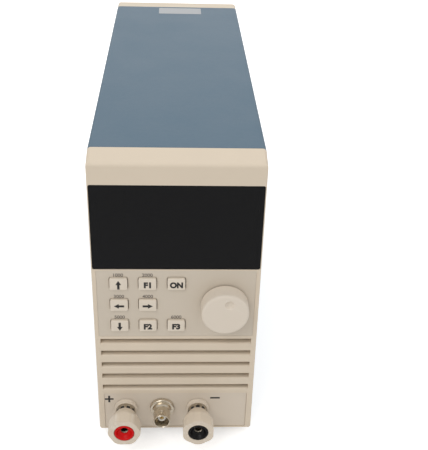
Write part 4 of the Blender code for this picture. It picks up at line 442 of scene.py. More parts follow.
# Four countersunk cross-head screws hold the sleeve to the tray. They are turned from steel rod,
# their crosses are pressed in, and they are plated with zinc.
cross_length = 3.4 * mm
cross_width = 0.7 * mm
cross_depth = 1.0 * mm


def turn_rings(name, profile, sides=64, through=False):
    """A turned piece, drawn ring by ring upwards or downwards. A point is a radius and a height."""
    radius, height = profile[0]
    bpy.ops.object.select_all(action="DESELECT")
    bpy.ops.mesh.primitive_circle_add(vertices=sides, radius=radius, location=(0.0, 0.0, height))
    piece = bpy.context.object
    piece.name = name
    bpy.ops.object.transform_apply(location=True, rotation=True, scale=True)
    bpy.context.tool_settings.mesh_select_mode = (False, True, False)
    bpy.ops.object.mode_set(mode="EDIT")
    bpy.ops.mesh.select_all(action="SELECT")
    for next_radius, next_height in profile[1:]:
        growth = next_radius / radius
        bpy.ops.mesh.extrude_edges_move(TRANSFORM_OT_translate={"value": (0.0, 0.0, next_height - height)})
        bpy.ops.transform.resize(value=(growth, growth, 1.0), center_override=(0.0, 0.0, next_height))
        radius = next_radius
        height = next_height
    bpy.ops.mesh.select_all(action="DESELECT")
    bpy.ops.mesh.select_non_manifold()
    if through:
        bpy.ops.mesh.bridge_edge_loops()
    else:
        bpy.ops.mesh.fill_holes(sides=0)
    bpy.ops.mesh.select_all(action="SELECT")
    bpy.ops.mesh.normals_make_consistent(inside=False)
    back_to_object()
    return piece


def put(piece, place, turn=(0.0, 0.0, 0.0)):
    """Turns a finished piece, sets it down and leaves its object at the origin."""
    only(piece)
    piece.rotation_euler = turn
    piece.location = place
    bpy.ops.object.transform_apply(location=True, rotation=True, scale=True)
    return piece


def quarter(centre_radius, centre_height, radius, steps=6):
    """Points of a rounded rim, from its top out and down to its side."""
    points = []
    for step in range(steps + 1):
        angle = math.pi / 2 * (1 - step / steps)
        points.append((centre_radius + radius * math.cos(angle), centre_height + radius * math.sin(angle)))
    return points


def cross_screw(name, radius, dome):
    """A screw head that lies in its countersink, with its cross cut in. Its top is at height nought."""
    profile = [(radius - dome, 0.0), (radius, -dome), (radius - 1.3 * mm, -1.6 * mm)]
    screw = turn_rings(name, profile, 32)
    for turned_by in (0.0, math.radians(90)):
        half = Vector((cross_length / 2, cross_width / 2, cross_depth))
        bar = new_block("screwdriver", -half, half)
        put(bar, (0.0, 0.0, 0.0), (0.0, 0.0, turned_by))
        carve(screw, bar)
    return soften(screw, 0.08 * mm, 2)


zinc, zinc_shader, zinc_tree = new_material("zinc_plated_steel", 0.36, 1.0)
add_grain(zinc_tree, zinc_shader, tint(176, 178, 178), 0.36, 0.6 * mm, 0.004 * mm, 0.16, 0.2, 90.0)
add_rubbing(zinc_tree, zinc_shader, tint(210, 211, 210), 0.5)
first_screw = cross_screw("sleeve_screw", sleeve_screw_radius, 0.35 * mm)
for number, (side, spot) in enumerate(sleeve_screws, start=1):
    screw = first_screw.copy()
    screw.data = first_screw.data.copy()
    screw.name = "sleeve_screw_%d" % number
    bpy.context.collection.objects.link(screw)
    sunk = Vector((side * 0.1 * mm, 0.0, 0.0))
    put(screw, (0.0, 0.0, 0.0), (0.0, 0.0, math.radians(20)))
    put(screw, spot - sunk, (0.0, side * math.radians(90), 0.0))
    finish(screw, "case", "zinc_steel", zinc)
bpy.data.objects.remove(first_screw)

# Inside stands a tray of zinc-plated sheet steel. Two finned aluminium extrusions make an air
# tunnel on its floor, with the power board over it and the logic board on tall standoffs above.


def dress(material, *nodes):
    """Paints solids that stay as they are."""
    for node in nodes:
        for place in bpy.data.objects[node].material_slots:
            place.material = material


aluminium, aluminium_shader, aluminium_tree = new_material("drawn_aluminium", 0.42, 1.0)
add_grain(aluminium_tree, aluminium_shader, tint(188, 190, 193), 0.42, 0.4 * mm, 0.01 * mm, 0.1, 0.15)
add_rubbing(aluminium_tree, aluminium_shader, tint(225, 226, 228), 0.4)
copper, copper_shader, copper_tree = new_material("tinned_copper_bar", 0.38, 1.0)
add_grain(copper_tree, copper_shader, tint(196, 170, 148), 0.38, 0.5 * mm, 0.006 * mm, 0.2, 0.2)
add_rubbing(copper_tree, copper_shader, tint(205, 140, 104), 0.6)
brass, brass_shader, brass_tree = new_material("turned_brass", 0.3, 1.0)
add_grain(brass_tree, brass_shader, tint(206, 172, 104), 0.3, 0.3 * mm, 0.004 * mm, 0.14, 0.15)
board_green, board_shader, board_tree = new_material("circuit_board_mask", 0.4, 0.0, 0.3)
add_grain(board_tree, board_shader, tint(24, 84, 52), 0.4, 0.9 * mm, 0.02 * mm, 0.3, 0.1, 240.0)
core_iron, core_shader, core_tree = new_material("core_stack", 0.55, 0.6)
add_grain(core_tree, core_shader, tint(70, 66, 62), 0.55, 0.5 * mm, 0.03 * mm, 0.2, 0.12)
tape_yellow, tape_shader, tape_tree = new_material("polyester_tape", 0.3, 0.0, 0.4)
add_grain(tape_tree, tape_shader, tint(214, 172, 66), 0.3, 4.0 * mm, 0.05 * mm, 0.12, 0.1)
dress(zinc, "chassis_tray", "deck_plate")
dress(aluminium, "heat_sink_lower", "heat_sink_upper")
dress(board_green, "power_board", "control_board", "key_board")
dress(core_iron, "transformer_core")
dress(tape_yellow, "transformer_winding")
dress(copper, "positive_bus_bar", "negative_bus_bar")
dress(brass, "positive_bush", "negative_bush", "bayonet_contact")

# The front is one cream moulding: a lip that slopes to the window, a frame round each panel, and
# five air slots that rise inwards. Its skin has the fine even grain of a spark-eroded mould.
bezel_low, bezel_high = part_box("front_bezel")
lip_end = front_plane + 13.5 * mm
lip_drop = 2.6 * mm
front_draft = 0.25 * mm
front_wall = 3.5 * mm
window_low, window_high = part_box("display_window")
window_grip = Vector((0.35 * mm, 0.0, 0.0))
window_low = window_low - window_grip
window_high = window_high + window_grip
panel_low, panel_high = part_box("control_overlay")
plate_low, plate_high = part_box("terminal_plate")
pocket_play = 0.3 * mm
window_corner = 1.0 * mm
slot_tops = [case_bottom + (67.5 - 8.31 * number) * mm for number in range(5)]
slot_half_width = 41.8 * mm
slot_opening = 3.2 * mm
slot_depth = 7.0 * mm
slot_rise = 0.8 * mm
slot_lip = 1.1 * mm
key_names = ("up", "mode", "on", "left", "right", "down", "shift", "set")
key_drop = Vector((0.0, 0.0, -0.5 * mm))
key_play = 0.35 * mm
key_corner = 1.1 * mm
through_wall = (front_plane - 3.0 * mm, front_plane + 6.0 * mm)

cream_plastic, cream_shader, cream_tree = new_material("cream_moulding", 0.52)
add_grain(cream_tree, cream_shader, tint(218, 203, 182), 0.52, 0.35 * mm, 0.015 * mm, 0.05, 0.08, 50.0)
add_rubbing(cream_tree, cream_shader, tint(236, 231, 221), 0.45)

bezel = new_block("front_moulding", (bezel_low.x, bezel_low.y, bezel_low.z), (bezel_high.x, lip_end, bezel_high.z))
bezel_middle = (bezel_low + bezel_high) / 2
pick_faces(bezel, lambda centre, normal: normal.y < -0.9)
shrink = 1 - front_draft / bezel_high.x
bpy.ops.transform.resize(value=(shrink, 1.0, 1.0), center_override=bezel_middle)
back_to_object()
pick_edges(bezel, lambda first, second: min(first.z, second.z) > bezel_middle.z and max(first.y, second.y) < bezel_middle.y)
bpy.ops.transform.translate(value=(0.0, 0.0, -lip_drop))
bpy.ops.transform.edge_bevelweight(value=0.9)
back_to_object()
pick_edges(bezel, lambda first, second: max(first.y, second.y) < bezel_middle.y and min(first.z, second.z) < bezel_middle.z)
bpy.ops.transform.edge_bevelweight(value=0.35)
back_to_object()
pick_edges(bezel, lambda first, second: abs(first.y - second.y) > 10 * mm)
bpy.ops.transform.edge_bevelweight(value=1.0)
back_to_object()
apply_modifier(bezel, "BEVEL", width=2.0 * mm, segments=8, limit_method="WEIGHT")

tongue_low = Vector((bezel_low.x + 1.5 * mm, lip_end - 0.5 * mm, bezel_low.z + 1.5 * mm))
tongue_high = Vector((bezel_high.x - 1.5 * mm, bezel_high.y, bezel_high.z - 1.5 * mm))
tongue = new_block("bezel_tongue", tongue_low, tongue_high)
round_along(tongue, 1, 2.0 * mm)
carve(bezel, tongue, "UNION")
inner_x = bezel_high.x - 2.8 * mm
inner_low = bezel_low.z + 2.8 * mm
inner_high = bezel_high.z - lip_drop - 2.0 * mm
louvre_low = slot_tops[-1] - slot_opening - 2.6 * mm
louvre_high = slot_tops[0] + slot_rise
behind = bezel_high.y + 1.0 * mm
cavities = (
    ((-inner_x, front_plane + front_wall, louvre_high), (inner_x, behind, inner_high)),
    ((-inner_x, front_plane + front_wall, inner_low), (inner_x, behind, louvre_low)),
    ((-inner_x, front_plane + slot_depth, inner_low), (inner_x, behind, inner_high)),
)
for low, high in cavities:
    carve(bezel, new_block("cavity", low, high))


def pocket(low, high, corner, back):
    """Cutter for a shallow pocket or an opening in the front wall."""
    cutter = new_block("pocket", (low.x, through_wall[0], low.z), (high.x, back, high.z))
    if corner:
        round_along(cutter, 1, corner)
    return cutter


play = Vector((0.15 * mm, 0.0, 0.15 * mm))
carve(bezel, pocket(window_low - play, window_high + play, window_corner, window_high.y + pocket_play))
ledge = Vector((3.0 * mm, 0.0, 3.0 * mm))
carve(bezel, pocket(window_low + ledge, window_high - ledge, 0.0, through_wall[1]))
carve(bezel, pocket(panel_low - play, panel_high + play, 0.5 * mm, panel_high.y + pocket_play))
carve(bezel, pocket(plate_low - play, plate_high + play, 0.5 * mm, plate_high.y + pocket_play))
carve(bezel, pocket(plate_low + ledge, plate_high - ledge, 0.0, through_wall[1]))
for slot_top in slot_tops:
    cutter = new_block(
        "air_slot",
        (-slot_half_width, front_plane - 1.0 * mm, slot_top - slot_opening),
        (slot_half_width, front_plane + slot_depth + 1.0 * mm, slot_top),
    )
    pick_faces(cutter, lambda centre, normal: normal.y > 0.9)
    bpy.ops.transform.translate(value=(0.0, 0.0, slot_rise * (slot_depth + 2.0 * mm) / slot_depth))
    back_to_object()
    put(cutter, (0.0, 0.0, -slot_rise / slot_depth * mm))
    carve(bezel, cutter)


def lies_on_slot_foot(vertex):
    """Whether a point is on the front edge of the floor of any slot."""
    on_front = abs(vertex.y - front_plane) < 0.02 * mm
    return on_front and any(abs(vertex.z - slot_top + slot_opening) < 0.02 * mm for slot_top in slot_tops)


pick_edges(bezel, lambda first, second: lies_on_slot_foot(first) and lies_on_slot_foot(second))
bpy.ops.mesh.bevel(offset=slot_lip, segments=6, affect="EDGES")
back_to_object()
key_boxes = {}
for name in key_names:
    low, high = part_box("key_" + name)
    low = low + key_drop
    high = high + key_drop
    flange = Vector((1.0 * mm, 0.0, 1.0 * mm))
    key_boxes[name] = (low + flange, high - flange)
    side_play = Vector((key_play, 0.0, key_play))
    hole = pocket(low + flange - side_play, high - flange + side_play, key_corner + key_play, through_wall[1])
    carve(bezel, hole)
knob_low, knob_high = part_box("knob")
knob_place = Vector(((knob_low.x + knob_high.x) / 2, front_plane, (knob_low.z + knob_high.z) / 2))
encoder_hole = turn_rings("encoder_hole", [(4.8 * mm, -6.0 * mm), (4.8 * mm, 3.0 * mm)], 48)
put(encoder_hole, knob_place, (math.radians(90), 0.0, 0.0))
carve(bezel, encoder_hole)
soften(bezel, 0.22 * mm)
finish(bezel, "case", "cream_moulding", cream_plastic, "front_bezel")

# The window is a sheet of smoked acrylic with polished edges. Behind it the board carries three
# rows of five seven-segment digits, which show faintly through the sheet while they are dark.
digit_rows = 3
digits_per_row = 5
digit_pitch_x = 10.6 * mm
digit_pitch_z = 15.0 * mm
digit_first_x = -36.7 * mm + 4.8 * mm
digit_front = front_plane + 2.2 * mm
segment_length = 4.3 * mm
segment_width = 0.9 * mm
segment_thickness = 0.1 * mm

smoked, smoked_shader, smoked_tree = new_material("smoked_acrylic", 0.09, 0.0, 0.0, 1.28)
add_grain(smoked_tree, smoked_shader, tint(9, 9, 11), 0.09, 30.0 * mm, 0.02 * mm, 0.05, 0.04, 30.0)
smoked_shader.inputs["Alpha"].default_value = 0.93
window = new_block("smoked_window", window_low, window_high)
round_along(window, 1, window_corner)
soften(window, 0.2 * mm, 3)
finish(window, "case", "smoked_acrylic", smoked, "display_window")

digit_epoxy, epoxy_shader, epoxy_tree = new_material("display_epoxy", 0.45)
add_grain(epoxy_tree, epoxy_shader, tint(44, 44, 46), 0.45, 0.3 * mm, 0.01 * mm, 0.1, 0.1)
dress(digit_epoxy, "display_board")
segment_white, segment_shader, segment_tree = new_material("unlit_segments", 0.5)
add_grain(segment_tree, segment_shader, tint(196, 190, 182), 0.5, 0.3 * mm, 0.01 * mm, 0.05, 0.1)


def seven_segments():
    """One unlit digit: seven bars with pointed ends, flat on its module."""
    half = segment_length / 2
    lean = math.radians(8)
    bars = []
    for column, row, upright in ((0, 1, 0), (0, 0, 0), (0, -1, 0), (-1, 0.5, 1), (1, 0.5, 1), (-1, -0.5, 1), (1, -0.5, 1)):
        bpy.ops.object.select_all(action="DESELECT")
        bpy.ops.mesh.primitive_circle_add(vertices=4, radius=segment_width / 2, fill_type="NGON")
        bar = bpy.context.object
        bar.name = "segment"
        bpy.ops.object.mode_set(mode="EDIT")
        bpy.ops.mesh.select_all(action="SELECT")
        bpy.ops.mesh.extrude_region_move(TRANSFORM_OT_translate={"value": (0.0, 0.0, segment_thickness)})
        back_to_object()
        for vertex in bar.data.vertices:
            if abs(vertex.co.x) > 0.1 * segment_width:
                vertex.co.x += math.copysign(half - segment_width * 0.6, vertex.co.x)
        bars.append(bar)
        angle = math.pi / 2 if upright else 0.0
        put(bar, (column * half, row * segment_length, 0.0), (0.0, 0.0, angle))
    only(bars[0])
    for bar in bars:
        bar.select_set(True)
    bpy.ops.object.join()
    return bars[0]


digit = seven_segments()
put(digit, (0.0, 0.0, 0.0), (math.radians(90), 0.0, 0.0))
display_middle = (window_low.z + window_high.z) / 2
digits = []
for row in range(digit_rows):
    for column in range(digits_per_row):
        copy = digit.copy()
        copy.data = digit.data.copy()
        bpy.context.collection.objects.link(copy)
        across = digit_first_x + column * digit_pitch_x
        up = display_middle + (row - (digit_rows - 1) / 2) * digit_pitch_z
        put(copy, (across, digit_front, up))
        digits.append(copy)
bpy.data.objects.remove(digit)
only(digits[0])
for copy in digits:
    copy.select_set(True)
bpy.ops.object.join()
segments = digits[0]
segments.name = "digit_segments"
finish(segments, "case", "overlay_sheet", segment_white)

# The keypad's face is a thin printed sheet, glued into its own pocket, with a hole for each key.
overlay_plastic, overlay_shader, overlay_tree = new_material("overlay_film", 0.5)
add_grain(overlay_tree, overlay_shader, tint(206, 194, 177), 0.5, 0.25 * mm, 0.006 * mm, 0.04, 0.06, 50.0)
overlay_fit = Vector((0.1 * mm, 0.0, 0.1 * mm))
overlay = new_block("keypad_overlay", panel_low - overlay_fit, panel_high + overlay_fit)
round_along(overlay, 1, 0.4 * mm, 3)
for name, (low, high) in key_boxes.items():
    side_play = Vector((key_play, 0.0, key_play))
    carve(overlay, pocket(low - side_play, high + side_play, key_corner + key_play, through_wall[1]))
encoder_hole = turn_rings("encoder_hole", [(4.8 * mm, -6.0 * mm), (4.8 * mm, 3.0 * mm)], 48)
put(encoder_hole, knob_place, (math.radians(90), 0.0, 0.0))
carve(overlay, encoder_hole)
soften(overlay, 0.08 * mm)
finish(overlay, "case", "overlay_sheet", overlay_plastic, "control_overlay")

# Eight moulded keys stand proud of the sheet. Each has a soft rim, a slightly crowned face and a
# flange behind the wall that holds it in, and its sign is pad-printed in black.
key_rim = 0.45 * mm
key_crown = 0.1 * mm
key_flange_back = front_plane + 4.8 * mm
ink_thickness = 0.03 * mm
sign_drop = 0.25 * mm

key_plastic, key_shader, key_tree = new_material("key_moulding", 0.42)
add_grain(key_tree, key_shader, tint(222, 210, 193), 0.42, 0.3 * mm, 0.006 * mm, 0.04, 0.08, 70.0)
add_rubbing(key_tree, key_shader, tint(240, 236, 228), 0.4)
ink, ink_shader, ink_tree = new_material("black_print", 0.45)
add_grain(ink_tree, ink_shader, tint(26, 23, 22), 0.45, 0.2 * mm, 0.004 * mm, 0.1, 0.1)


def flat_sign(name, words, height, widest, weight):
    """Printed characters, lying flat and centred, with a little thickness."""
    bpy.ops.object.select_all(action="DESELECT")
    bpy.ops.object.text_add(location=(0.0, 0.0, 0.0))
    sign = bpy.context.object
    sign.name = name
    sign.data.body = words
    sign.data.align_x = "CENTER"
    sign.data.align_y = "CENTER"
    sign.data.size = height / 0.7
    sign.data.offset = weight * height
    sign.data.extrude = ink_thickness / 2
    bpy.ops.object.convert(target="MESH")
    corners = [Vector(corner) for corner in sign.bound_box]
    centre = (min(corner.x for corner in corners) + max(corner.x for corner in corners)) / 2
    middle = (min(corner.y for corner in corners) + max(corner.y for corner in corners)) / 2
    squeeze = min(1.0, widest / sign.dimensions.x)
    put(sign, (-centre, -middle, 0.0))
    sign.scale = (squeeze, 1.0, 1.0)
    return put(sign, (0.0, 0.0, 0.0))


def flat_arrow(name, turned_by):
    """A printed arrow with a broad head, lying flat, that points up before it is turned."""
    bpy.ops.object.select_all(action="DESELECT")
    bpy.ops.mesh.primitive_circle_add(vertices=3, radius=1.75 * mm, fill_type="NGON", location=(0.0, 1.0 * mm, 0.0))
    head = bpy.context.object
    bpy.ops.object.transform_apply(location=True, rotation=True, scale=True)
    shaft = new_block("shaft", (-0.65 * mm, -2.75 * mm, 0.0), (0.65 * mm, 0.5 * mm, ink_thickness))
    only(head)
    bpy.ops.object.mode_set(mode="EDIT")
    bpy.ops.mesh.select_all(action="SELECT")
    bpy.ops.mesh.extrude_region_move(TRANSFORM_OT_translate={"value": (0.0, 0.0, ink_thickness)})
    bpy.ops.mesh.select_all(action="SELECT")
    bpy.ops.mesh.normals_make_consistent(inside=False)
    back_to_object()
    carve(head, shaft, "UNION")
    head.name = name
    return put(head, (0.0, 0.0, 0.0), (0.0, 0.0, turned_by))


key_signs = {
    "up": 0.0,
    "left": math.radians(90),
    "down": math.radians(180),
    "right": math.radians(-90),
    "mode": "F1",
    "on": "ON",
    "shift": "F2",
    "set": "F3",
}
for name, (low, high) in key_boxes.items():
    key = new_block("keycap_" + name, (low.x, low.y + key_crown, low.z), (high.x, key_flange_back, high.z))
    round_along(key, 1, key_corner)
    pick_faces(key, lambda centre, normal: normal.y < -0.9)
    bpy.ops.mesh.bevel(offset=key_rim, segments=4, affect="EDGES")
    back_to_object()
    pick_faces(key, lambda centre, normal: normal.y < -0.999)
    bpy.ops.mesh.inset(thickness=key_rim)
    bpy.ops.transform.translate(value=(0.0, -key_crown, 0.0))
    back_to_object()
    flange = new_block(
        "flange",
        (low.x - 1.0 * mm, key_flange_back - 1.0 * mm, low.z - 1.0 * mm),
        (high.x + 1.0 * mm, key_flange_back, high.z + 1.0 * mm),
    )
    carve(key, flange, "UNION")
    only(key)
    bpy.ops.object.shade_smooth_by_angle(angle=math.radians(40.0))
    finish(key, "key_%s_body" % name, "cream_keys", key_plastic, "key_" + name)
    sign = key_signs[name]
    if isinstance(sign, str):
        mark = flat_sign("sign_" + name, sign, 3.3 * mm, 7.0 * mm, 0.085)
    else:
        mark = flat_arrow("sign_" + name, sign)
    centre = (low + high) / 2
    put(mark, (centre.x, low.y - 0.01 * mm, centre.z - sign_drop), (math.radians(90), 0.0, 0.0))
    finish(mark, "key_%s_body" % name, "black_plastic", ink)

# Small grey numbers are printed on the sheet over the keys that have a second use.
caption_grey = tint(108, 100, 92)
caption_height = 2.0 * mm
caption_gap = 1.5 * mm
captions = {"up": "1000", "mode": "2000", "left": "3000", "right": "4000", "down": "5000", "set": "6000"}

caption_ink, caption_shader, caption_tree = new_material("grey_print", 0.5)
add_grain(caption_tree, caption_shader, caption_grey, 0.5, 0.2 * mm, 0.004 * mm, 0.12, 0.1)
for name, words in captions.items():
    low, high = key_boxes[name]
    caption = flat_sign("caption_" + name, words, caption_height, 9.0 * mm, 0.03)
    place = ((low.x + high.x) / 2, panel_low.y - 0.01 * mm, high.z + caption_gap)
    put(caption, place, (math.radians(90), 0.0, 0.0))
    finish(caption, "case", "overlay_sheet", caption_ink)

# The knob is a deep moulded cup with a soft rim, pushed on the encoder's shaft by a split boss.
# A round finger dimple near its rim lets it be spun quickly.
knob_radius = (knob_high.x - knob_low.x) / 2
knob_front = front_plane - knob_low.y
knob_back = front_plane - knob_high.y
knob_rim = 1.5 * mm
knob_roof = knob_front - 2.0 * mm
knob_bore = 3.3 * mm
dimple_radius = 2.7 * mm
dimple_depth = 1.4 * mm
dimple_place = Vector((2.2, 0.0, 6.6)) * mm

knob_plastic, knob_shader, knob_tree = new_material("knob_moulding", 0.46)
add_grain(knob_tree, knob_shader, tint(221, 209, 193), 0.46, 0.3 * mm, 0.008 * mm, 0.04, 0.08, 60.0)
add_rubbing(knob_tree, knob_shader, tint(238, 233, 224), 0.35)
profile = [(knob_bore, knob_front - 1.6 * mm), (knob_bore, 5.2 * mm), (knob_bore + 1.3 * mm, 5.2 * mm)]
profile += [(knob_bore + 1.6 * mm, knob_roof), (knob_radius - 1.9 * mm, knob_roof)]
profile += [(knob_radius - 1.6 * mm, knob_back), (knob_radius - 0.3 * mm, knob_back)]
profile += [(knob_radius, knob_back + 0.4 * mm)]
profile += quarter(knob_radius - 0.15 * mm - knob_rim, knob_front - knob_rim, knob_rim, 8)[::-1]
knob = turn_rings("turning_knob", profile, 128)
bowl_radius = (dimple_radius ** 2 + dimple_depth ** 2) / (2 * dimple_depth)
bpy.ops.object.select_all(action="DESELECT")
bowl_place = (dimple_place.x, dimple_place.z, knob_front + bowl_radius - dimple_depth)
bpy.ops.mesh.primitive_uv_sphere_add(segments=96, ring_count=64, radius=bowl_radius, location=bowl_place)
carve(knob, bpy.context.object)
soften(knob, 0.25 * mm, 3, 25.0)
put(knob, knob_place, (math.radians(90), 0.0, 0.0))
finish(knob, "knob_body", "cream_keys", knob_plastic, "knob")
nickel, nickel_shader, nickel_tree = new_material("nickel_plate", 0.24, 1.0)
add_grain(nickel_tree, nickel_shader, tint(186, 174, 156), 0.24, 0.35 * mm, 0.004 * mm, 0.1, 0.12, 140.0)
add_rubbing(nickel_tree, nickel_shader, tint(222, 214, 200), 0.4)
black_plastic, black_shader, black_tree = new_material("black_moulding", 0.42)
add_grain(black_tree, black_shader, tint(30, 30, 31), 0.42, 0.3 * mm, 0.01 * mm, 0.15, 0.1)
add_rubbing(black_tree, black_shader, tint(70, 70, 70), 0.4)
dress(nickel, "encoder_shaft", "encoder_nut", "bayonet_nut", "positive_nut", "negative_nut")
dress(black_plastic, "encoder_body")

# The terminal plate is a flat moulding in the lowest pocket, printed with a plus and a minus.
post_x = {"positive": -28.9 * mm, "negative": 12.85 * mm}
bayonet_x = -7.9 * mm
terminal_z = case_bottom + 16.5 * mm
plus_place = Vector((-38.5, 0.0, 6.0 + 22.95)) * mm
minus_place = Vector((22.95, 0.0, 6.0 + 23.45)) * mm
sign_stroke = 1.15 * mm

plate_plastic, plate_shader, plate_tree = new_material("terminal_moulding", 0.55)
add_grain(plate_tree, plate_shader, tint(214, 201, 184), 0.55, 0.3 * mm, 0.012 * mm, 0.04, 0.08, 50.0)
plate = new_block("terminal_moulding", plate_low - overlay_fit, plate_high + overlay_fit)
for x, radius in ((post_x["positive"], 3.3 * mm), (post_x["negative"], 3.3 * mm), (bayonet_x, 5.11 * mm)):
    drill = turn_rings("drill", [(radius, -5.0 * mm), (radius, 3.0 * mm)], 48)
    put(drill, (x, front_plane, terminal_z), (math.radians(90), 0.0, 0.0))
    carve(plate, drill)
soften(plate, 0.15 * mm)
finish(plate, "case", "overlay_sheet", plate_plastic, "terminal_plate")


def flat_bar(name, length, upright=False):
    """A printed stroke, flat on the plate."""
    half = Vector((length / 2, sign_stroke / 2, ink_thickness / 2))
    bar = new_block(name, -half, half)
    turn = math.radians(90) if upright else 0.0
    return put(bar, (0.0, 0.0, 0.0), (0.0, 0.0, turn))


plus_sign = carve(flat_bar("plus_sign", 5.0 * mm), flat_bar("stroke", 5.0 * mm, True), "UNION")
plus_place.y = plate_low.y - 0.01 * mm
put(plus_sign, plus_place, (math.radians(90), 0.0, 0.0))
finish(plus_sign, "case", "black_plastic", ink)
minus_sign = flat_bar("minus_sign", 5.6 * mm)
minus_place.y = plate_low.y - 0.01 * mm
put(minus_sign, minus_place, (math.radians(90), 0.0, 0.0))
finish(minus_sign, "case", "black_plastic", ink)

# Each binding post has a cream collar, a nickel stud with a cross hole for bare wire, and a cap
# that swells from a round neck to six rounded flats. A coloured ring is pressed into its mouth.
collar_back = -0.1 * mm
collar_front = 2.3 * mm
collar_flange = 1.6 * mm
collar_rim = 6.6 * mm
collar_hub = 5.6 * mm
cap_back = 6.0 * mm
cap_front = 20.6 * mm
cap_neck = 6.0 * mm
cap_corner = 9.75 * mm
cap_across = 17.2 * mm
cap_flat_corner = 2.6 * mm
cap_flare_start = 0.7 * mm
cap_flare_length = 11.0 * mm
cap_turn = {"positive": 30.0, "negative": 0.0}
ring_outer = 5.5 * mm
ring_inner = 2.15 * mm
ring_back = 17.8 * mm
ring_throat = 18.5 * mm
ring_front = 20.8 * mm
ring_seat = 5.8 * mm

cap_plastic, cap_shader, cap_tree = new_material("cap_moulding", 0.4)
add_grain(cap_tree, cap_shader, tint(217, 203, 184), 0.4, 0.35 * mm, 0.008 * mm, 0.04, 0.08, 70.0)
add_rubbing(cap_tree, cap_shader, tint(234, 228, 217), 0.5)
red_plastic, red_shader, red_tree = new_material("red_moulding", 0.34, 0.0, 0.0, 1.27)
add_grain(red_tree, red_shader, tint(206, 8, 8), 0.34, 0.3 * mm, 0.006 * mm, 0.08, 0.08)
jet_plastic, jet_shader, jet_tree = new_material("jet_black_moulding", 0.34, 0.0, 0.0, 1.27)
add_grain(jet_tree, jet_shader, tint(17, 15, 15), 0.34, 0.3 * mm, 0.006 * mm, 0.08, 0.08)
ring_paint = {"positive": red_plastic, "negative": jet_plastic}
stud_rod = 3.0 * mm
stud_shoulder = 5.7 * mm
crown_teeth = 10
crown_turn = {"positive": 0.0, "negative": 0.5}
shoulder_back = 2.5 * mm
crown_floor = 3.9 * mm
crown_top = 5.6 * mm
crown_inner = 5.25 * mm
notch_shade_top = 5.25 * mm
stud_bore = 2.0 * mm
stud_bore_depth = 12.5 * mm
stud_front = 17.5 * mm
stud_back = -17.6 * mm
# The studs' nickel is darkened and warmed towards the cream round it. This is a painted reflection of the collar and
# cap over the metal's own colour.
stud_metal, stud_shader, stud_tree = new_material("nickel_with_painted_reflection", 0.32, 1.0)
add_grain(stud_tree, stud_shader, tint(168, 157, 140), 0.36, 0.3 * mm, 0.006 * mm, 0.12, 0.14, 200.0)
add_rubbing(stud_tree, stud_shader, tint(220, 210, 194), 0.4)
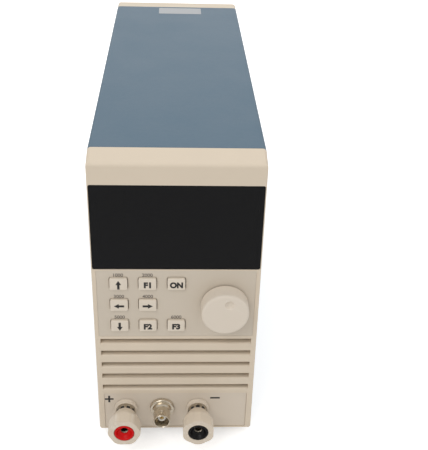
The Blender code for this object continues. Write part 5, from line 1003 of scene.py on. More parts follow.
for side, x in post_x.items():
    place = (x, front_plane, terminal_z)
    profile = [(3.3 * mm, collar_back), (3.3 * mm, collar_front)]
    profile += quarter(collar_hub - 0.3 * mm, collar_front - 0.3 * mm, 0.3 * mm)
    profile += [(collar_hub, collar_flange + 0.3 * mm), (collar_hub + 0.3 * mm, collar_flange)]
    profile += quarter(collar_rim - 0.5 * mm, collar_flange - 0.5 * mm, 0.5 * mm)
    profile += [(collar_rim, collar_back)]
    collar = turn_rings(side + "_post_collar", profile, 96, True)
    only(collar)
    bpy.ops.object.shade_smooth_by_angle(angle=math.radians(35.0))
    put(collar, place, (math.radians(90), 0.0, 0.0))
    finish(collar, "case", "cream_keys", cap_plastic, side + "_collar")
    profile = [(0.5 * mm, stud_front - stud_bore_depth), (stud_bore, stud_front - stud_bore_depth + 1.0 * mm)]
    profile += [(stud_bore, stud_front - 0.3 * mm), (stud_bore + 0.3 * mm, stud_front)]
    profile += [(stud_rod - 0.3 * mm, stud_front), (stud_rod, stud_front - 0.3 * mm), (stud_rod, crown_top)]
    profile += [(stud_shoulder, crown_top), (stud_shoulder, shoulder_back), (stud_rod, shoulder_back)]
    profile += [(stud_rod, stud_back + 0.3 * mm), (stud_rod - 0.3 * mm, stud_back)]
    stud = turn_rings(side + "_turned_stud", profile, 64)
    wire_hole = turn_rings("wire_hole", [(1.2 * mm, -5.0 * mm), (1.2 * mm, 5.0 * mm)], 32)
    put(wire_hole, (0.0, 0.0, 6.5 * mm), (math.radians(90), 0.0, 0.0))
    carve(stud, wire_hole)
    profile = [(stud_rod, crown_top + 0.5 * mm), (stud_rod, crown_floor), (crown_inner, crown_floor)]
    profile += [(crown_inner, crown_top + 0.5 * mm)]
    carve(stud, turn_rings("trench", profile, 64, True))
    for number in range(crown_teeth):
        angle = 2 * math.pi * (number + crown_turn[side]) / crown_teeth
        notch = new_block("notch", (crown_inner - 0.3 * mm, -1.05 * mm, 0.0), (stud_shoulder + 1.0 * mm, 1.05 * mm, 2.5 * mm))
        put(notch, (0.0, 0.0, crown_floor), (0.0, 0.0, angle))
        carve(stud, notch)
    soften(stud, 0.08 * mm)
    put(stud, place, (math.radians(90), 0.0, 0.0))
    finish(stud, "case", "nickel_plate", stud_metal, side + "_stud")
    # A black ring fills the trench behind the crown's teeth. It is painted shade: it makes the notches between the
    # teeth look dark.
    profile = [(stud_rod + 0.1 * mm, crown_floor), (stud_rod + 0.1 * mm, notch_shade_top), (crown_inner - 0.2 * mm, notch_shade_top)]
    profile += [(crown_inner - 0.05 * mm, notch_shade_top - 0.15 * mm), (crown_inner - 0.05 * mm, crown_floor)]
    notch_shade_ring = turn_rings(side + "_black_washer", profile, 64, True)
    put(notch_shade_ring, place, (math.radians(90), 0.0, 0.0))
    only(notch_shade_ring)
    bpy.ops.object.shade_smooth_by_angle(angle=math.radians(35.0))
    finish(notch_shade_ring, "case", "black_plastic", black_plastic)
    flare = cap_back + cap_flare_start
    profile = [(5.2 * mm, cap_back), (5.2 * mm, ring_back - 0.3 * mm), (ring_seat, ring_back - 0.3 * mm)]
    profile += [(ring_seat, cap_front)]
    profile += quarter(cap_corner - 0.9 * mm, cap_front - 0.9 * mm, 0.9 * mm)
    for step in range(13):
        share = 1 - step / 12
        swell = math.sin(math.pi / 2 * share)
        profile.append((cap_neck + (cap_corner - cap_neck) * swell, flare + cap_flare_length * share))
    profile += [(cap_neck, cap_back + 0.5 * mm), (cap_neck - 0.4 * mm, cap_back)]
    cap = turn_rings(side + "_screw_cap", profile, 96, True)
    bpy.ops.object.select_all(action="DESELECT")
    bpy.ops.mesh.primitive_cylinder_add(vertices=6, radius=cap_across / math.sqrt(3), depth=18.0 * mm)
    flats = bpy.context.object
    put(flats, (0.0, 0.0, (cap_back + cap_front) / 2), (0.0, 0.0, math.radians(cap_turn[side])))
    round_along(flats, 2, cap_flat_corner)
    carve(cap, flats, "INTERSECT")
    soften(cap, 0.3 * mm, 3, 20.0)
    put(cap, place, (math.radians(90), 0.0, 0.0))
    finish(cap, side + "_cap_body", "cream_keys", cap_plastic, side + "_cap")
    profile = [(ring_outer, ring_back), (ring_inner, ring_back), (ring_inner, ring_throat)]
    for step in range(9):
        share = step / 8
        slope = 1 - math.cos(math.pi / 2 * share)
        height = ring_throat + (ring_front - 0.1 * mm - ring_throat) * slope
        profile.append((ring_inner + 0.3 * mm + (ring_outer - 0.9 * mm - ring_inner - 0.3 * mm) * share, height))
    profile += [(ring_outer - 0.6 * mm, ring_front), (ring_outer - 0.25 * mm, ring_front)]
    profile += [(ring_outer, ring_front - 0.25 * mm)]
    ring = turn_rings(side + "_colour_ring", profile, 96, True)
    soften(ring, 0.12 * mm, 2)
    put(ring, place, (math.radians(90), 0.0, 0.0))
    paint = ring_paint[side]
    finish(ring, side + "_cap_body", "red_plastic" if side == "positive" else "black_plastic", paint, side + "_ring")

# The bayonet socket is turned from brass rod and nickel plated. It has a flange, a grooved
# shoulder and two locking lugs, and a white insulator with a gilt contact inside its mouth.
barrel = 4.81 * mm
barrel_front = 11.9 * mm
mouth_radius = 4.05 * mm
mouth_floor = 3.9 * mm
flange_radius = 7.0 * mm
flange_front = 1.9 * mm
shoulder_radius = 5.6 * mm
barrel_tail = -10.9 * mm
groove = 0.25 * mm
lug_height = barrel_front - 4.0 * mm

socket_metal, socket_shader, socket_tree = new_material("warm_nickel_plate", 0.26, 1.0)
add_grain(socket_tree, socket_shader, tint(214, 204, 187), 0.28, 0.3 * mm, 0.006 * mm, 0.12, 0.14, 200.0)
add_rubbing(socket_tree, socket_shader, tint(228, 218, 200), 0.4)
profile = [(2.6 * mm, barrel_tail), (2.6 * mm, mouth_floor), (mouth_radius, mouth_floor)]
profile += [(mouth_radius, barrel_front - 0.3 * mm), (mouth_radius + 0.3 * mm, barrel_front)]
profile += [(barrel - 0.2 * mm, barrel_front), (barrel, barrel_front - 0.2 * mm)]
profile += [(barrel, flange_front + 2.6 * mm), (barrel - groove, flange_front + 2.4 * mm)]
profile += [(barrel - groove, flange_front + 1.9 * mm), (shoulder_radius, flange_front + 1.5 * mm)]
profile += [(shoulder_radius, flange_front), (flange_radius - 0.3 * mm, flange_front)]
profile += [(flange_radius, flange_front - 0.3 * mm), (flange_radius, -0.1 * mm), (barrel, -0.1 * mm)]
profile += [(barrel, barrel_tail)]
bayonet = turn_rings("bayonet_shell", profile, 96, True)
for side in (-1, 1):
    lug = turn_rings("lug", [(1.0 * mm, 4.4 * mm)] + quarter(0.7 * mm, 5.5 * mm, 0.3 * mm)[::-1], 32)
    put(lug, (0.0, 0.0, lug_height), (-side * math.radians(90), 0.0, 0.0))
    carve(bayonet, lug, "UNION")
soften(bayonet, 0.1 * mm)
bayonet_place = (bayonet_x, front_plane, terminal_z)
put(bayonet, bayonet_place, (math.radians(90), 0.0, 0.0))
finish(bayonet, "case", "nickel_plate", socket_metal, "bayonet_body")
white_plastic, white_shader, white_tree = new_material("white_insulator", 0.35)
add_grain(white_tree, white_shader, tint(222, 218, 208), 0.35, 0.3 * mm, 0.006 * mm, 0.05, 0.08)
profile = [(1.2 * mm, -11.4 * mm), (1.2 * mm, 8.6 * mm), (1.5 * mm, 8.9 * mm), (2.1 * mm, 8.9 * mm)]
profile += [(2.3 * mm, 8.7 * mm), (2.3 * mm, -11.4 * mm)]
insulator = turn_rings("bayonet_white_core", profile, 64, True)
soften(insulator, 0.08 * mm)
put(insulator, bayonet_place, (math.radians(90), 0.0, 0.0))
finish(insulator, "case", "white_insulator", white_plastic, "bayonet_insulator")

# The back is closed by a second cream moulding, a plain frame that the steel rear panel sits in.
# The panel is punched from sheet and painted, and its holes keep a little burr.
rear_low, rear_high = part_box("rear_bezel")
rear_frame_front = rear_high.y - 12.0 * mm
rear_panel_low, rear_panel_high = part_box("rear_panel")
guard_low, guard_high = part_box("fan_guard")
fan_low, fan_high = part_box("fan_frame")
fan_middle = (fan_low + fan_high) / 2
fan_bore = 38.2 * mm
fan_screw = (fan_high.x - fan_low.x) / 2 - 4.25 * mm

rear_frame = new_block("rear_moulding", (rear_low.x, rear_frame_front, rear_low.z), rear_high)
round_along(rear_frame, 1, 2.0 * mm)
pick_faces(rear_frame, lambda centre, normal: normal.y > 0.9)
bpy.ops.mesh.bevel(offset=1.5 * mm, segments=6, affect="EDGES")
back_to_object()
tongue_low = Vector((rear_low.x + 1.5 * mm, rear_low.y, rear_low.z + 1.5 * mm))
tongue_high = Vector((rear_high.x - 1.5 * mm, rear_frame_front + 0.5 * mm, rear_high.z - 1.5 * mm))
tongue = new_block("rear_tongue", tongue_low, tongue_high)
round_along(tongue, 1, 2.0 * mm)
carve(rear_frame, tongue, "UNION")
room_low = Vector((rear_low.x + 2.8 * mm, rear_low.y - 1.0 * mm, rear_low.z + 2.8 * mm))
room_high = Vector((rear_high.x - 2.8 * mm, rear_high.y - 2.0 * mm, rear_high.z - 2.8 * mm))
carve(rear_frame, new_block("room", room_low, room_high))
sight_low = Vector((-40.0 * mm, rear_high.y - 4.0 * mm, rear_low.z + 3.9 * mm))
sight_high = Vector((40.0 * mm, rear_high.y + 1.0 * mm, rear_high.z - 5.0 * mm))
carve(rear_frame, new_block("sight", sight_low, sight_high))
soften(rear_frame, 0.25 * mm)
finish(rear_frame, "case", "cream_moulding", cream_plastic, "rear_bezel")

rear_paint, rear_shader, rear_tree = new_material("rear_panel_paint", 0.5)
add_grain(rear_tree, rear_shader, tint(104, 125, 141), 0.5, 0.45 * mm, 0.03 * mm, 0.07, 0.12, 45.0)
add_rubbing(rear_tree, rear_shader, tint(160, 170, 176), 0.6)
panel_sheet = new_block("rear_panel_sheet", rear_panel_low, rear_panel_high)
round_along(panel_sheet, 1, 2.0 * mm)
hole = turn_rings("bore", [(fan_bore, -5.0 * mm), (fan_bore, 5.0 * mm)], 128)
put(hole, (0.0, rear_panel_high.y, fan_middle.z), (math.radians(90), 0.0, 0.0))
carve(panel_sheet, hole)
for across in (-fan_screw, fan_screw):
    for up in (-fan_screw, fan_screw):
        hole = turn_rings("screw_hole", [(2.2 * mm, -5.0 * mm), (2.2 * mm, 5.0 * mm)], 32)
        put(hole, (across, rear_panel_high.y, fan_middle.z + up), (math.radians(90), 0.0, 0.0))
        carve(panel_sheet, hole)
inlet_low, inlet_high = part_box("inlet_socket")
switch_low, switch_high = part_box("switch_frame")
port_low, port_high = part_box("serial_port")
inlet_middle = (inlet_low + inlet_high) / 2
switch_middle = (switch_low + switch_high) / 2
port_middle = (port_low + port_high) / 2
switch_body = Vector(((switch_high.x - switch_low.x) / 2 - 1.0 * mm, 0.0, (switch_high.z - switch_low.z) / 2 - 1.0 * mm))
punched = (
    (inlet_middle, Vector((13.8, 0.0, 16.55)) * mm),
    (switch_middle, switch_body + Vector((0.3, 0.0, 0.3)) * mm),
    (port_middle, Vector((9.8, 0.0, 5.5)) * mm),
)
for middle, half in punched:
    low = (middle.x - half.x, rear_panel_low.y - 1.0 * mm, middle.z - half.z)
    high = (middle.x + half.x, rear_panel_high.y + 1.0 * mm, middle.z + half.z)
    carve(panel_sheet, new_block("punch", low, high))
soften(panel_sheet, 0.12 * mm)
finish(panel_sheet, "case", "rear_paint", rear_paint, "rear_panel")

# The fan is a square black frame with four arms behind a hub. Seven swept blades run in its bore,
# and a guard of chromed wire, welded from rings and two crossed wires, keeps fingers out.
hub_radius = 16.0 * mm
stator_radius = 15.0 * mm
frame_flange = 4.0 * mm
frame_corner = 5.0 * mm
arm_half = 1.5 * mm
arm_thickness = 2.5 * mm
blade_count = 7
blade_root_pitch = 40.0
blade_tip_pitch = 24.0
blade_chord = 17.0 * mm
blade_sweep = 14.0
blade_middle = 6.7 * mm
blade_rows = 12
blade_columns = 10
wire_radius = 0.9 * mm
ring_radii = (13.0 * mm, 25.15 * mm, 37.3 * mm)
wire_y = guard_low.y + 1.62 * mm

fan_back = fan_high.y
fan_front = fan_low.y
frame_block = new_block("fan_housing", fan_low, fan_high)
round_along(frame_block, 1, frame_corner)
waist_radius = (fan_high.x - fan_low.x) / 2 - 0.5 * mm
waist = turn_rings("waist", [(waist_radius, -9.0 * mm), (waist_radius, 9.0 * mm)], 128)
half_height = (fan_back - fan_front) / 2 - frame_flange
belt = new_block(
    "belt",
    (fan_low.x - 2.0 * mm, fan_middle.y - half_height, fan_low.z - 2.0 * mm),
    (fan_high.x + 2.0 * mm, fan_middle.y + half_height, fan_high.z + 2.0 * mm),
)
put(waist, fan_middle, (math.radians(90), 0.0, 0.0))
carve(belt, waist)
carve(frame_block, belt)
bore_half = (fan_back - fan_front) / 2 + 1.0 * mm
bore = turn_rings("bore", [(fan_bore, -bore_half), (fan_bore, bore_half)], 128)
put(bore, fan_middle, (math.radians(90), 0.0, 0.0))
carve(frame_block, bore)
for across in (-fan_screw, fan_screw):
    for up in (-fan_screw, fan_screw):
        hole = turn_rings("screw_hole", [(2.2 * mm, -bore_half), (2.2 * mm, bore_half)], 32)
        put(hole, (across, fan_middle.y, fan_middle.z + up), (math.radians(90), 0.0, 0.0))
        carve(frame_block, hole)
arm_back = fan_back - 0.5 * mm
arm_reach = fan_bore + 0.9 * mm
for half_x, half_z in ((arm_reach, arm_half), (arm_half, arm_reach)):
    low = (-half_x, arm_back - arm_thickness, fan_middle.z - half_z)
    high = (half_x, arm_back, fan_middle.z + half_z)
    carve(frame_block, new_block("arm", low, high), "UNION")
stator = turn_rings("stator", [(stator_radius, -3.0 * mm), (stator_radius, -0.6 * mm), (stator_radius - 0.6 * mm, 0.0)], 96)
put(stator, (0.0, fan_back, fan_middle.z), (-math.radians(90), 0.0, 0.0))
carve(frame_block, stator, "UNION")
pin = turn_rings("pin", [(1.5 * mm, -14.7 * mm), (1.5 * mm, -1.5 * mm)], 32)
put(pin, (0.0, fan_back, fan_middle.z), (-math.radians(90), 0.0, 0.0))
carve(frame_block, pin, "UNION")
soften(frame_block, 0.3 * mm)
finish(frame_block, "case", "black_plastic", black_plastic, "fan_frame")

hub_back = fan_back - 3.3 * mm
profile = [(1.8 * mm, 12.5 * mm), (1.8 * mm, 0.0), (3.4 * mm, 0.0), (3.4 * mm, 12.5 * mm)]
profile += [(hub_radius - 1.5 * mm, 12.5 * mm), (hub_radius - 1.5 * mm, 0.0), (hub_radius, 0.0)]
profile += quarter(hub_radius - 1.5 * mm, 12.5 * mm, 1.5 * mm)[::-1]
rotor = turn_rings("fan_wheel", profile, 96)
blade_root = hub_radius - 0.7 * mm
blade_tip = fan_bore - 0.9 * mm
bpy.ops.object.select_all(action="DESELECT")
bpy.ops.mesh.primitive_grid_add(x_subdivisions=blade_columns, y_subdivisions=blade_rows, size=1.0)
blade = bpy.context.object
for vertex in blade.data.vertices:
    share = vertex.co.y + 0.5
    radius = blade_root + (blade_tip - blade_root) * share
    pitch = math.radians(blade_root_pitch + (blade_tip_pitch - blade_root_pitch) * share)
    along = vertex.co.x * blade_chord
    angle = math.radians(blade_sweep) * share + along * math.cos(pitch) / radius
    camber = 0.8 * mm * (1 - (2 * vertex.co.x) ** 2)
    height = blade_middle + along * math.sin(pitch) + camber
    vertex.co = (radius * math.cos(angle), radius * math.sin(angle), height)
apply_modifier(blade, "SOLIDIFY", thickness=1.2 * mm, offset=0.0)
for number in range(blade_count):
    copy = blade.copy()
    copy.data = blade.data.copy()
    bpy.context.collection.objects.link(copy)
    put(copy, (0.0, 0.0, 0.0), (0.0, 0.0, 2 * math.pi * number / blade_count))
    carve(rotor, copy, "UNION")
bpy.data.objects.remove(blade)
soften(rotor, 0.2 * mm, 2)
put(rotor, (0.0, hub_back, fan_middle.z), (math.radians(90), 0.0, 0.0))
finish(rotor, "fan_rotor_body", "black_plastic", black_plastic, "fan_rotor")

chrome, chrome_shader, chrome_tree = new_material("bright_chrome_wire", 0.16, 1.0)
add_grain(chrome_tree, chrome_shader, tint(206, 208, 210), 0.16, 0.5 * mm, 0.003 * mm, 0.06, 0.1, 120.0)
guard_parts = []
for radius in ring_radii:
    bpy.ops.object.select_all(action="DESELECT")
    bpy.ops.mesh.primitive_torus_add(
        major_radius=radius,
        minor_radius=wire_radius,
        major_segments=128,
        minor_segments=16,
        location=(0.0, wire_y, fan_middle.z),
        rotation=(math.radians(90), 0.0, 0.0),
    )
    guard_parts.append(bpy.context.object)
for lift, lean in ((-0.72 * mm, 45.0), (-0.27 * mm, -45.0)):
    bpy.ops.object.select_all(action="DESELECT")
    bpy.ops.mesh.primitive_cylinder_add(
        vertices=24,
        radius=wire_radius,
        depth=2 * math.sqrt(2) * fan_screw,
        location=(0.0, wire_y + lift, fan_middle.z),
        rotation=(0.0, math.radians(lean), 0.0),
    )
    guard_parts.append(bpy.context.object)
for across in (-fan_screw, fan_screw):
    for up in (-fan_screw, fan_screw):
        profile = [(1.7 * mm, -0.7 * mm), (1.7 * mm, 0.7 * mm), (2.8 * mm, 0.7 * mm), (3.1 * mm, 0.4 * mm)]
        profile += [(3.1 * mm, -0.4 * mm), (2.8 * mm, -0.7 * mm)]
        eye = turn_rings("eye", profile, 48, True)
        put(eye, (across, wire_y, fan_middle.z + up), (math.radians(90), 0.0, 0.0))
        guard_parts.append(eye)
guard = guard_parts[0]
for part in guard_parts[1:]:
    carve(guard, part, "UNION")
for across in (-fan_screw, fan_screw):
    for up in (-fan_screw, fan_screw):
        hole = turn_rings("screw_hole", [(1.7 * mm, -4.0 * mm), (1.7 * mm, 4.0 * mm)], 32)
        put(hole, (across, wire_y, fan_middle.z + up), (math.radians(90), 0.0, 0.0))
        carve(guard, hole)
guard.name = "wire_guard"
only(guard)
bpy.ops.object.shade_smooth_by_angle(angle=math.radians(40.0))
finish(guard, "case", "guard_chrome", chrome, "fan_guard")
number = 0
for across in (-fan_screw, fan_screw):
    for up in (-fan_screw, fan_screw):
        number += 1
        profile = [(1.5 * mm, -5.0 * mm), (1.5 * mm, 0.0), (2.9 * mm, 0.0)]
        profile += quarter(2.3 * mm, 0.8 * mm, 0.6 * mm)[::-1]
        screw = turn_rings("guard_screw_%d" % number, profile, 48)
        for turned_by in (0.0, math.radians(90)):
            bar = new_block("screwdriver", (-1.6 * mm, -0.35 * mm, 0.7 * mm), (1.6 * mm, 0.35 * mm, 2.0 * mm))
            put(bar, (0.0, 0.0, 0.0), (0.0, 0.0, turned_by + number * 0.4))
            carve(screw, bar)
        soften(screw, 0.08 * mm)
        put(screw, (across, wire_y + 0.75 * mm, fan_middle.z + up), (-math.radians(90), 0.0, 0.0))
        finish(screw, "case", "zinc_steel", zinc)

# The mains inlet is a glossy black moulding, held by two screws. Its keyed mouth has three tin
# plated blades, and a fuse drawer with a finger notch slides in below the mouth.
inlet_flange_back = inlet_high.y - 2.2 * mm
mouth_half = Vector((12.1, 0.0, 8.1)) * mm
mouth_corner = 5.0 * mm
mouth_floor_y = inlet_high.y - 16.0 * mm
mouth_middle = inlet_middle.z + 5.0 * mm
contact_end = inlet_high.y - 2.0 * mm
drawer_low, drawer_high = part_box("fuse_drawer")

gloss_black, gloss_shader, gloss_tree = new_material("glossy_black_moulding", 0.28)
add_grain(gloss_tree, gloss_shader, tint(24, 24, 25), 0.28, 0.4 * mm, 0.006 * mm, 0.15, 0.1)
add_rubbing(gloss_tree, gloss_shader, tint(64, 64, 64), 0.4)
inlet = new_block("mains_inlet", (inlet_low.x, inlet_flange_back, inlet_low.z), inlet_high)
round_along(inlet, 1, 2.0 * mm)
body_low = (inlet_middle.x - 13.5 * mm, inlet_low.y, inlet_middle.z - 16.25 * mm)
body_high = (inlet_middle.x + 13.5 * mm, inlet_flange_back + 1.0 * mm, inlet_middle.z + 16.25 * mm)
carve(inlet, new_block("body", body_low, body_high), "UNION")
mouth = new_block(
    "mouth",
    (inlet_middle.x - mouth_half.x, mouth_floor_y, mouth_middle - mouth_half.z),
    (inlet_middle.x + mouth_half.x, inlet_high.y + 1.0 * mm, mouth_middle + mouth_half.z),
)
pick_edges(mouth, lambda first, second: abs(first.y - second.y) > 5 * mm and first.z > mouth_middle)
bpy.ops.mesh.bevel(offset=mouth_corner, segments=1, affect="EDGES")
back_to_object()
round_along(mouth, 1, 1.0 * mm, 4)
carve(inlet, mouth)
well_low = (drawer_low.x - 0.3 * mm, drawer_low.y - 0.6 * mm, drawer_low.z - 0.3 * mm)
well_high = (drawer_high.x + 0.3 * mm, inlet_high.y + 1.0 * mm, drawer_high.z + 0.3 * mm)
carve(inlet, new_block("well", well_low, well_high))
soften(inlet, 0.3 * mm, 3)
finish(inlet, "case", "black_plastic", gloss_black, "inlet_socket")
for number, (side, drop) in enumerate(((-1, -1), (1, -1), (0, 1)), start=1):
    middle = Vector((inlet_middle.x + side * 7.0 * mm, 0.0, mouth_middle + drop * 2.0 * mm))
    pin = new_block(
        "inlet_blade_%d" % number,
        (middle.x - 1.0 * mm, mouth_floor_y - 1.0 * mm, middle.z - 2.0 * mm),
        (middle.x + 1.0 * mm, contact_end, middle.z + 2.0 * mm),
    )
    pick_faces(pin, lambda centre, normal: normal.y > 0.9)
    bpy.ops.mesh.bevel(offset=0.5 * mm, segments=3, affect="EDGES")
    back_to_object()
    soften(pin, 0.1 * mm)
    finish(pin, "case", "nickel_plate", nickel)

drawer = new_block("fuse_drawer_moulding", drawer_low, drawer_high)
bay_low = (drawer_low.x + 1.3 * mm, drawer_low.y + 1.3 * mm, drawer_low.z + 1.3 * mm)
bay_high = (drawer_high.x - 1.3 * mm, inlet_high.y - 2.5 * mm, drawer_high.z + 1.0 * mm)
carve(drawer, new_block("bay", bay_low, bay_high))
notch_low = (inlet_middle.x - 4.0 * mm, drawer_high.y - 0.8 * mm, drawer_high.z - 1.6 * mm)
notch_high = (inlet_middle.x + 4.0 * mm, drawer_high.y + 1.0 * mm, drawer_high.z + 1.0 * mm)
notch = new_block("notch", notch_low, notch_high)
round_along(notch, 1, 0.7 * mm, 3)
carve(drawer, notch)
soften(drawer, 0.25 * mm)
finish(drawer, "fuse_drawer_body", "black_plastic", black_plastic, "fuse_drawer")

# The rocker switch has a black frame with a raised rim and a rocker with two hollowed wings. A
# stroke and a ring are moulded on its ends and filled with white.
rocker_low, rocker_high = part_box("power_rocker")
rocker_width = 10.6 * mm
rocker_half = 7.0 * mm
rocker_crest = 4.5 * mm
rocker_valley = 3.2 * mm
rocker_lean = math.radians(11.0)
rocker_radius = math.hypot(rocker_half, rocker_crest)
rocker_steps = 14
rocker_back = 0.55 * rocker_radius
rocker_end_angle = math.radians(-20.0)
switch_flange_back = switch_high.y - 2.0 * mm
pivot = Vector((switch_middle.x, switch_high.y - 2.3 * mm, switch_middle.z))
well_half = rocker_radius + 0.3 * mm

housing = new_block("switch_bezel", (switch_low.x, switch_flange_back, switch_low.z), switch_high)
round_along(housing, 1, 1.5 * mm)
body_low = (switch_low.x + 1.0 * mm, switch_low.y, switch_low.z + 1.0 * mm)
body_high = (switch_high.x - 1.0 * mm, switch_flange_back + 1.0 * mm, switch_high.z - 1.0 * mm)
carve(housing, new_block("body", body_low, body_high), "UNION")
well_low = (pivot.x - rocker_width / 2 - 0.3 * mm, pivot.y - rocker_radius, pivot.z - well_half)
well_high = (pivot.x + rocker_width / 2 + 0.3 * mm, switch_high.y + 1.0 * mm, pivot.z + well_half)
carve(housing, new_block("well", well_low, well_high))
bearing_half = rocker_width / 2 + 1.3 * mm
bearing = turn_rings("bearing", [(1.5 * mm, -bearing_half), (1.5 * mm, bearing_half)], 32)
put(bearing, pivot, (0.0, math.radians(90), 0.0))
carve(housing, bearing)
soften(housing, 0.3 * mm, 3)
finish(housing, "case", "black_plastic", gloss_black, "switch_frame")

wing_slope = math.atan2(rocker_crest - rocker_valley, rocker_half)
bpy.ops.object.select_all(action="DESELECT")
bpy.ops.mesh.primitive_circle_add(vertices=4 * rocker_steps, radius=rocker_radius, fill_type="NGON")
rocker = bpy.context.object
rocker.name = "rocker_key"
put(rocker, (-rocker_width / 2, 0.0, 0.0), (0.0, math.radians(90), 0.0))
only(rocker)
bpy.ops.object.mode_set(mode="EDIT")
bpy.ops.mesh.select_all(action="SELECT")
bpy.ops.mesh.extrude_region_move(TRANSFORM_OT_translate={"value": (rocker_width, 0.0, 0.0)})
bpy.ops.mesh.select_all(action="SELECT")
bpy.ops.mesh.normals_make_consistent(inside=False)
back_to_object()
for side in (-1, 1):
    cutter_half = Vector((rocker_width, rocker_radius, rocker_radius))
    cutter = new_block("wing", -cutter_half, cutter_half)
    put(cutter, (0.0, rocker_radius, side * rocker_radius))
    put(cutter, (0.0, rocker_valley, 0.0), (-side * wing_slope, 0.0, 0.0))
    carve(rocker, cutter)
back_half = Vector((rocker_width, rocker_radius, 2 * rocker_radius))
cutter = new_block("back", -back_half, back_half)
put(cutter, (0.0, -rocker_radius - rocker_back, 0.0))
carve(rocker, cutter)
axle = turn_rings("axle", [(1.2 * mm, -rocker_width / 2 - 1.0 * mm), (1.2 * mm, rocker_width / 2 + 1.0 * mm)], 32)
put(axle, (0.0, 0.0, 0.0), (0.0, math.radians(90), 0.0))
carve(rocker, axle, "UNION")
soften(rocker, 0.35 * mm, 3)
rocker_marks = []
bpy.ops.object.select_all(action="DESELECT")
bpy.ops.mesh.primitive_torus_add(
    major_radius=1.5 * mm,
    minor_radius=0.22 * mm,
    major_segments=48,
    minor_segments=8,
)
ring_mark = bpy.context.object
ring_mark.name = "rocker_ring_mark"
stroke_half = Vector((0.22 * mm, 1.6 * mm, 0.15 * mm))
stroke_mark = new_block("rocker_stroke_mark", -stroke_half, stroke_half)
soften(stroke_mark, 0.08 * mm)
wing_middle = rocker_half * 0.52
wing_rise = rocker_valley + (rocker_crest - rocker_valley) * 0.52
for mark, side in ((ring_mark, -1), (stroke_mark, 1)):
    put(mark, (0.0, wing_rise - 0.05 * mm, side * wing_middle), (-math.radians(90) - side * wing_slope, 0.0, 0.0))
white_fill, fill_shader, fill_tree = new_material("white_filling", 0.5)
add_grain(fill_tree, fill_shader, tint(226, 226, 222), 0.5, 0.2 * mm, 0.01 * mm, 0.06, 0.1)
for part, paint in ((rocker, gloss_black), (ring_mark, white_fill), (stroke_mark, white_fill)):
    put(part, pivot, (rocker_lean, 0.0, 0.0))
    finish(part, "power_rocker_body", "black_plastic", paint)
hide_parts("power_rocker")

# The serial socket is a pressed steel shell with a D-shaped mouth, nine pin holes in a black
# insert, and a hexagonal post with a threaded hole on either side.
shell_low = port_high.y - 5.5 * mm
flange_back = shell_low - 1.0 * mm
shell_half_top = 8.5 * mm
shell_half_foot = 7.3 * mm
shell_half_height = 4.2 * mm
shell_corner = 2.2 * mm
jack_spacing = 12.5 * mm
pin_pitch = 2.77 * mm


def d_block(name, low_y, high_y, inset):
    """A block with the socket's D shape, seen from behind, smaller by an inset all round."""
    half = shell_half_top - inset
    shape = new_block(
        name,
        (port_middle.x - half, low_y, port_middle.z - shell_half_height + inset),
        (port_middle.x + half, high_y, port_middle.z + shell_half_height - inset),
    )
    pick_edges(shape, lambda first, second: abs(first.y - second.y) > 0.5 * (high_y - low_y) and first.z < port_middle.z)
    narrower = (shell_half_foot - inset) / half
    bpy.ops.transform.resize(value=(narrower, 1.0, 1.0), center_override=port_middle)
    back_to_object()
    round_along(shape, 1, shell_corner - inset)
    return shape


port = new_block(
    "serial_shell",
    (port_middle.x - 15.5 * mm, flange_back, port_middle.z - 6.25 * mm),
    (port_middle.x + 15.5 * mm, shell_low, port_middle.z + 6.25 * mm),
)
round_along(port, 1, 1.0 * mm, 4)
carve(port, d_block("shell", shell_low - 0.5 * mm, port_high.y, 0.0), "UNION")
carve(port, d_block("mouth", shell_low + 0.3 * mm, port_high.y + 1.0 * mm, 0.5 * mm))
body_low = (port_middle.x - 9.5 * mm, port_low.y, port_middle.z - 5.2 * mm)
body_high = (port_middle.x + 9.5 * mm, flange_back + 0.5 * mm, port_middle.z + 5.2 * mm)
carve(port, new_block("body", body_low, body_high), "UNION")
soften(port, 0.18 * mm)
finish(port, "case", "zinc_steel", zinc, "serial_port")
insert = d_block("serial_insert", shell_low, port_high.y - 0.6 * mm, 1.1 * mm)
for row, count in ((1, 5), (-1, 4)):
    for number in range(count):
        across = port_middle.x + (number - (count - 1) / 2) * pin_pitch
        hole = turn_rings("pin_hole", [(0.6 * mm, -4.0 * mm), (0.6 * mm, 1.0 * mm)], 24)
        put(hole, (across, port_high.y - 0.6 * mm, port_middle.z + row * 1.42 * mm), (-math.radians(90), 0.0, 0.0))
        carve(insert, hole)
soften(insert, 0.12 * mm)
finish(insert, "case", "black_plastic", black_plastic)
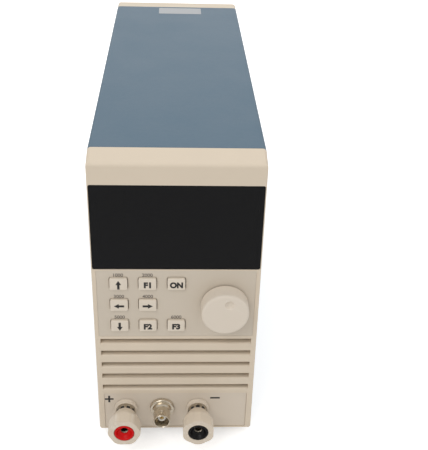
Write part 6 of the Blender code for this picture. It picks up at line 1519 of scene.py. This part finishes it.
for side in (-1, 1):
    bpy.ops.object.select_all(action="DESELECT")
    bpy.ops.mesh.primitive_cylinder_add(vertices=6, radius=2.6 * mm, depth=4.6 * mm)
    post = bpy.context.object
    post.name = "jack_post_left" if side < 0 else "jack_post_right"
    thread = turn_rings("thread", [(1.3 * mm, -1.0 * mm), (1.3 * mm, 3.0 * mm)], 32)
    carve(post, thread)
    soften(post, 0.25 * mm)
    place = (port_middle.x + side * jack_spacing, shell_low + 2.2 * mm, port_middle.z)
    put(post, place, (-math.radians(90), 0.0, 0.0))
    finish(post, "case", "nickel_plate", nickel)

# Four black rubber feet, moulded round a washer, are held to the tray by a screw in a deep dish.
foot_names = ("foot_front_left", "foot_front_right", "foot_rear_left", "foot_rear_right")
foot_radius = 6.5 * mm
foot_top_radius = 5.4 * mm
foot_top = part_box(foot_names[0])[1].z

rubber, rubber_shader, rubber_tree = new_material("black_foot_rubber", 0.75)
add_grain(rubber_tree, rubber_shader, tint(34, 34, 34), 0.75, 0.4 * mm, 0.03 * mm, 0.2, 0.1)
profile = [(3.2 * mm, 2.0 * mm), (3.6 * mm, 0.0), (foot_radius - 0.8 * mm, 0.0)]
profile += [(foot_radius - 0.2 * mm, 0.3 * mm), (foot_radius, 1.0 * mm), (foot_top_radius, foot_top)]
first_foot = turn_rings("rubber_foot", profile, 64)
soften(first_foot, 0.2 * mm)
first_foot_screw = turn_rings("foot_screw", [(3.0 * mm, 2.05 * mm)] + [(2.9 * mm, 1.5 * mm), (1.6 * mm, 1.1 * mm)], 32)
for turned_by in (0.0, math.radians(90)):
    bar = new_block("screwdriver", (-1.5 * mm, -0.3 * mm, 0.9 * mm), (1.5 * mm, 0.3 * mm, 1.6 * mm))
    put(bar, (0.0, 0.0, 0.0), (0.0, 0.0, turned_by))
    carve(first_foot_screw, bar)
soften(first_foot_screw, 0.08 * mm)
for name in foot_names:
    low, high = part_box(name)
    place = ((low.x + high.x) / 2, (low.y + high.y) / 2, 0.0)
    for first, label, paint, slot in (
        (first_foot, "rubber_", rubber, "black_rubber"),
        (first_foot_screw, "screw_of_", zinc, "zinc_steel"),
    ):
        copy = first.copy()
        copy.data = first.data.copy()
        copy.name = label + name
        bpy.context.collection.objects.link(copy)
        put(copy, place)
        finish(copy, "case", slot, paint)
        if first is first_foot:
            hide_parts(name)
for first in (first_foot, first_foot_screw):
    bpy.data.objects.remove(first)
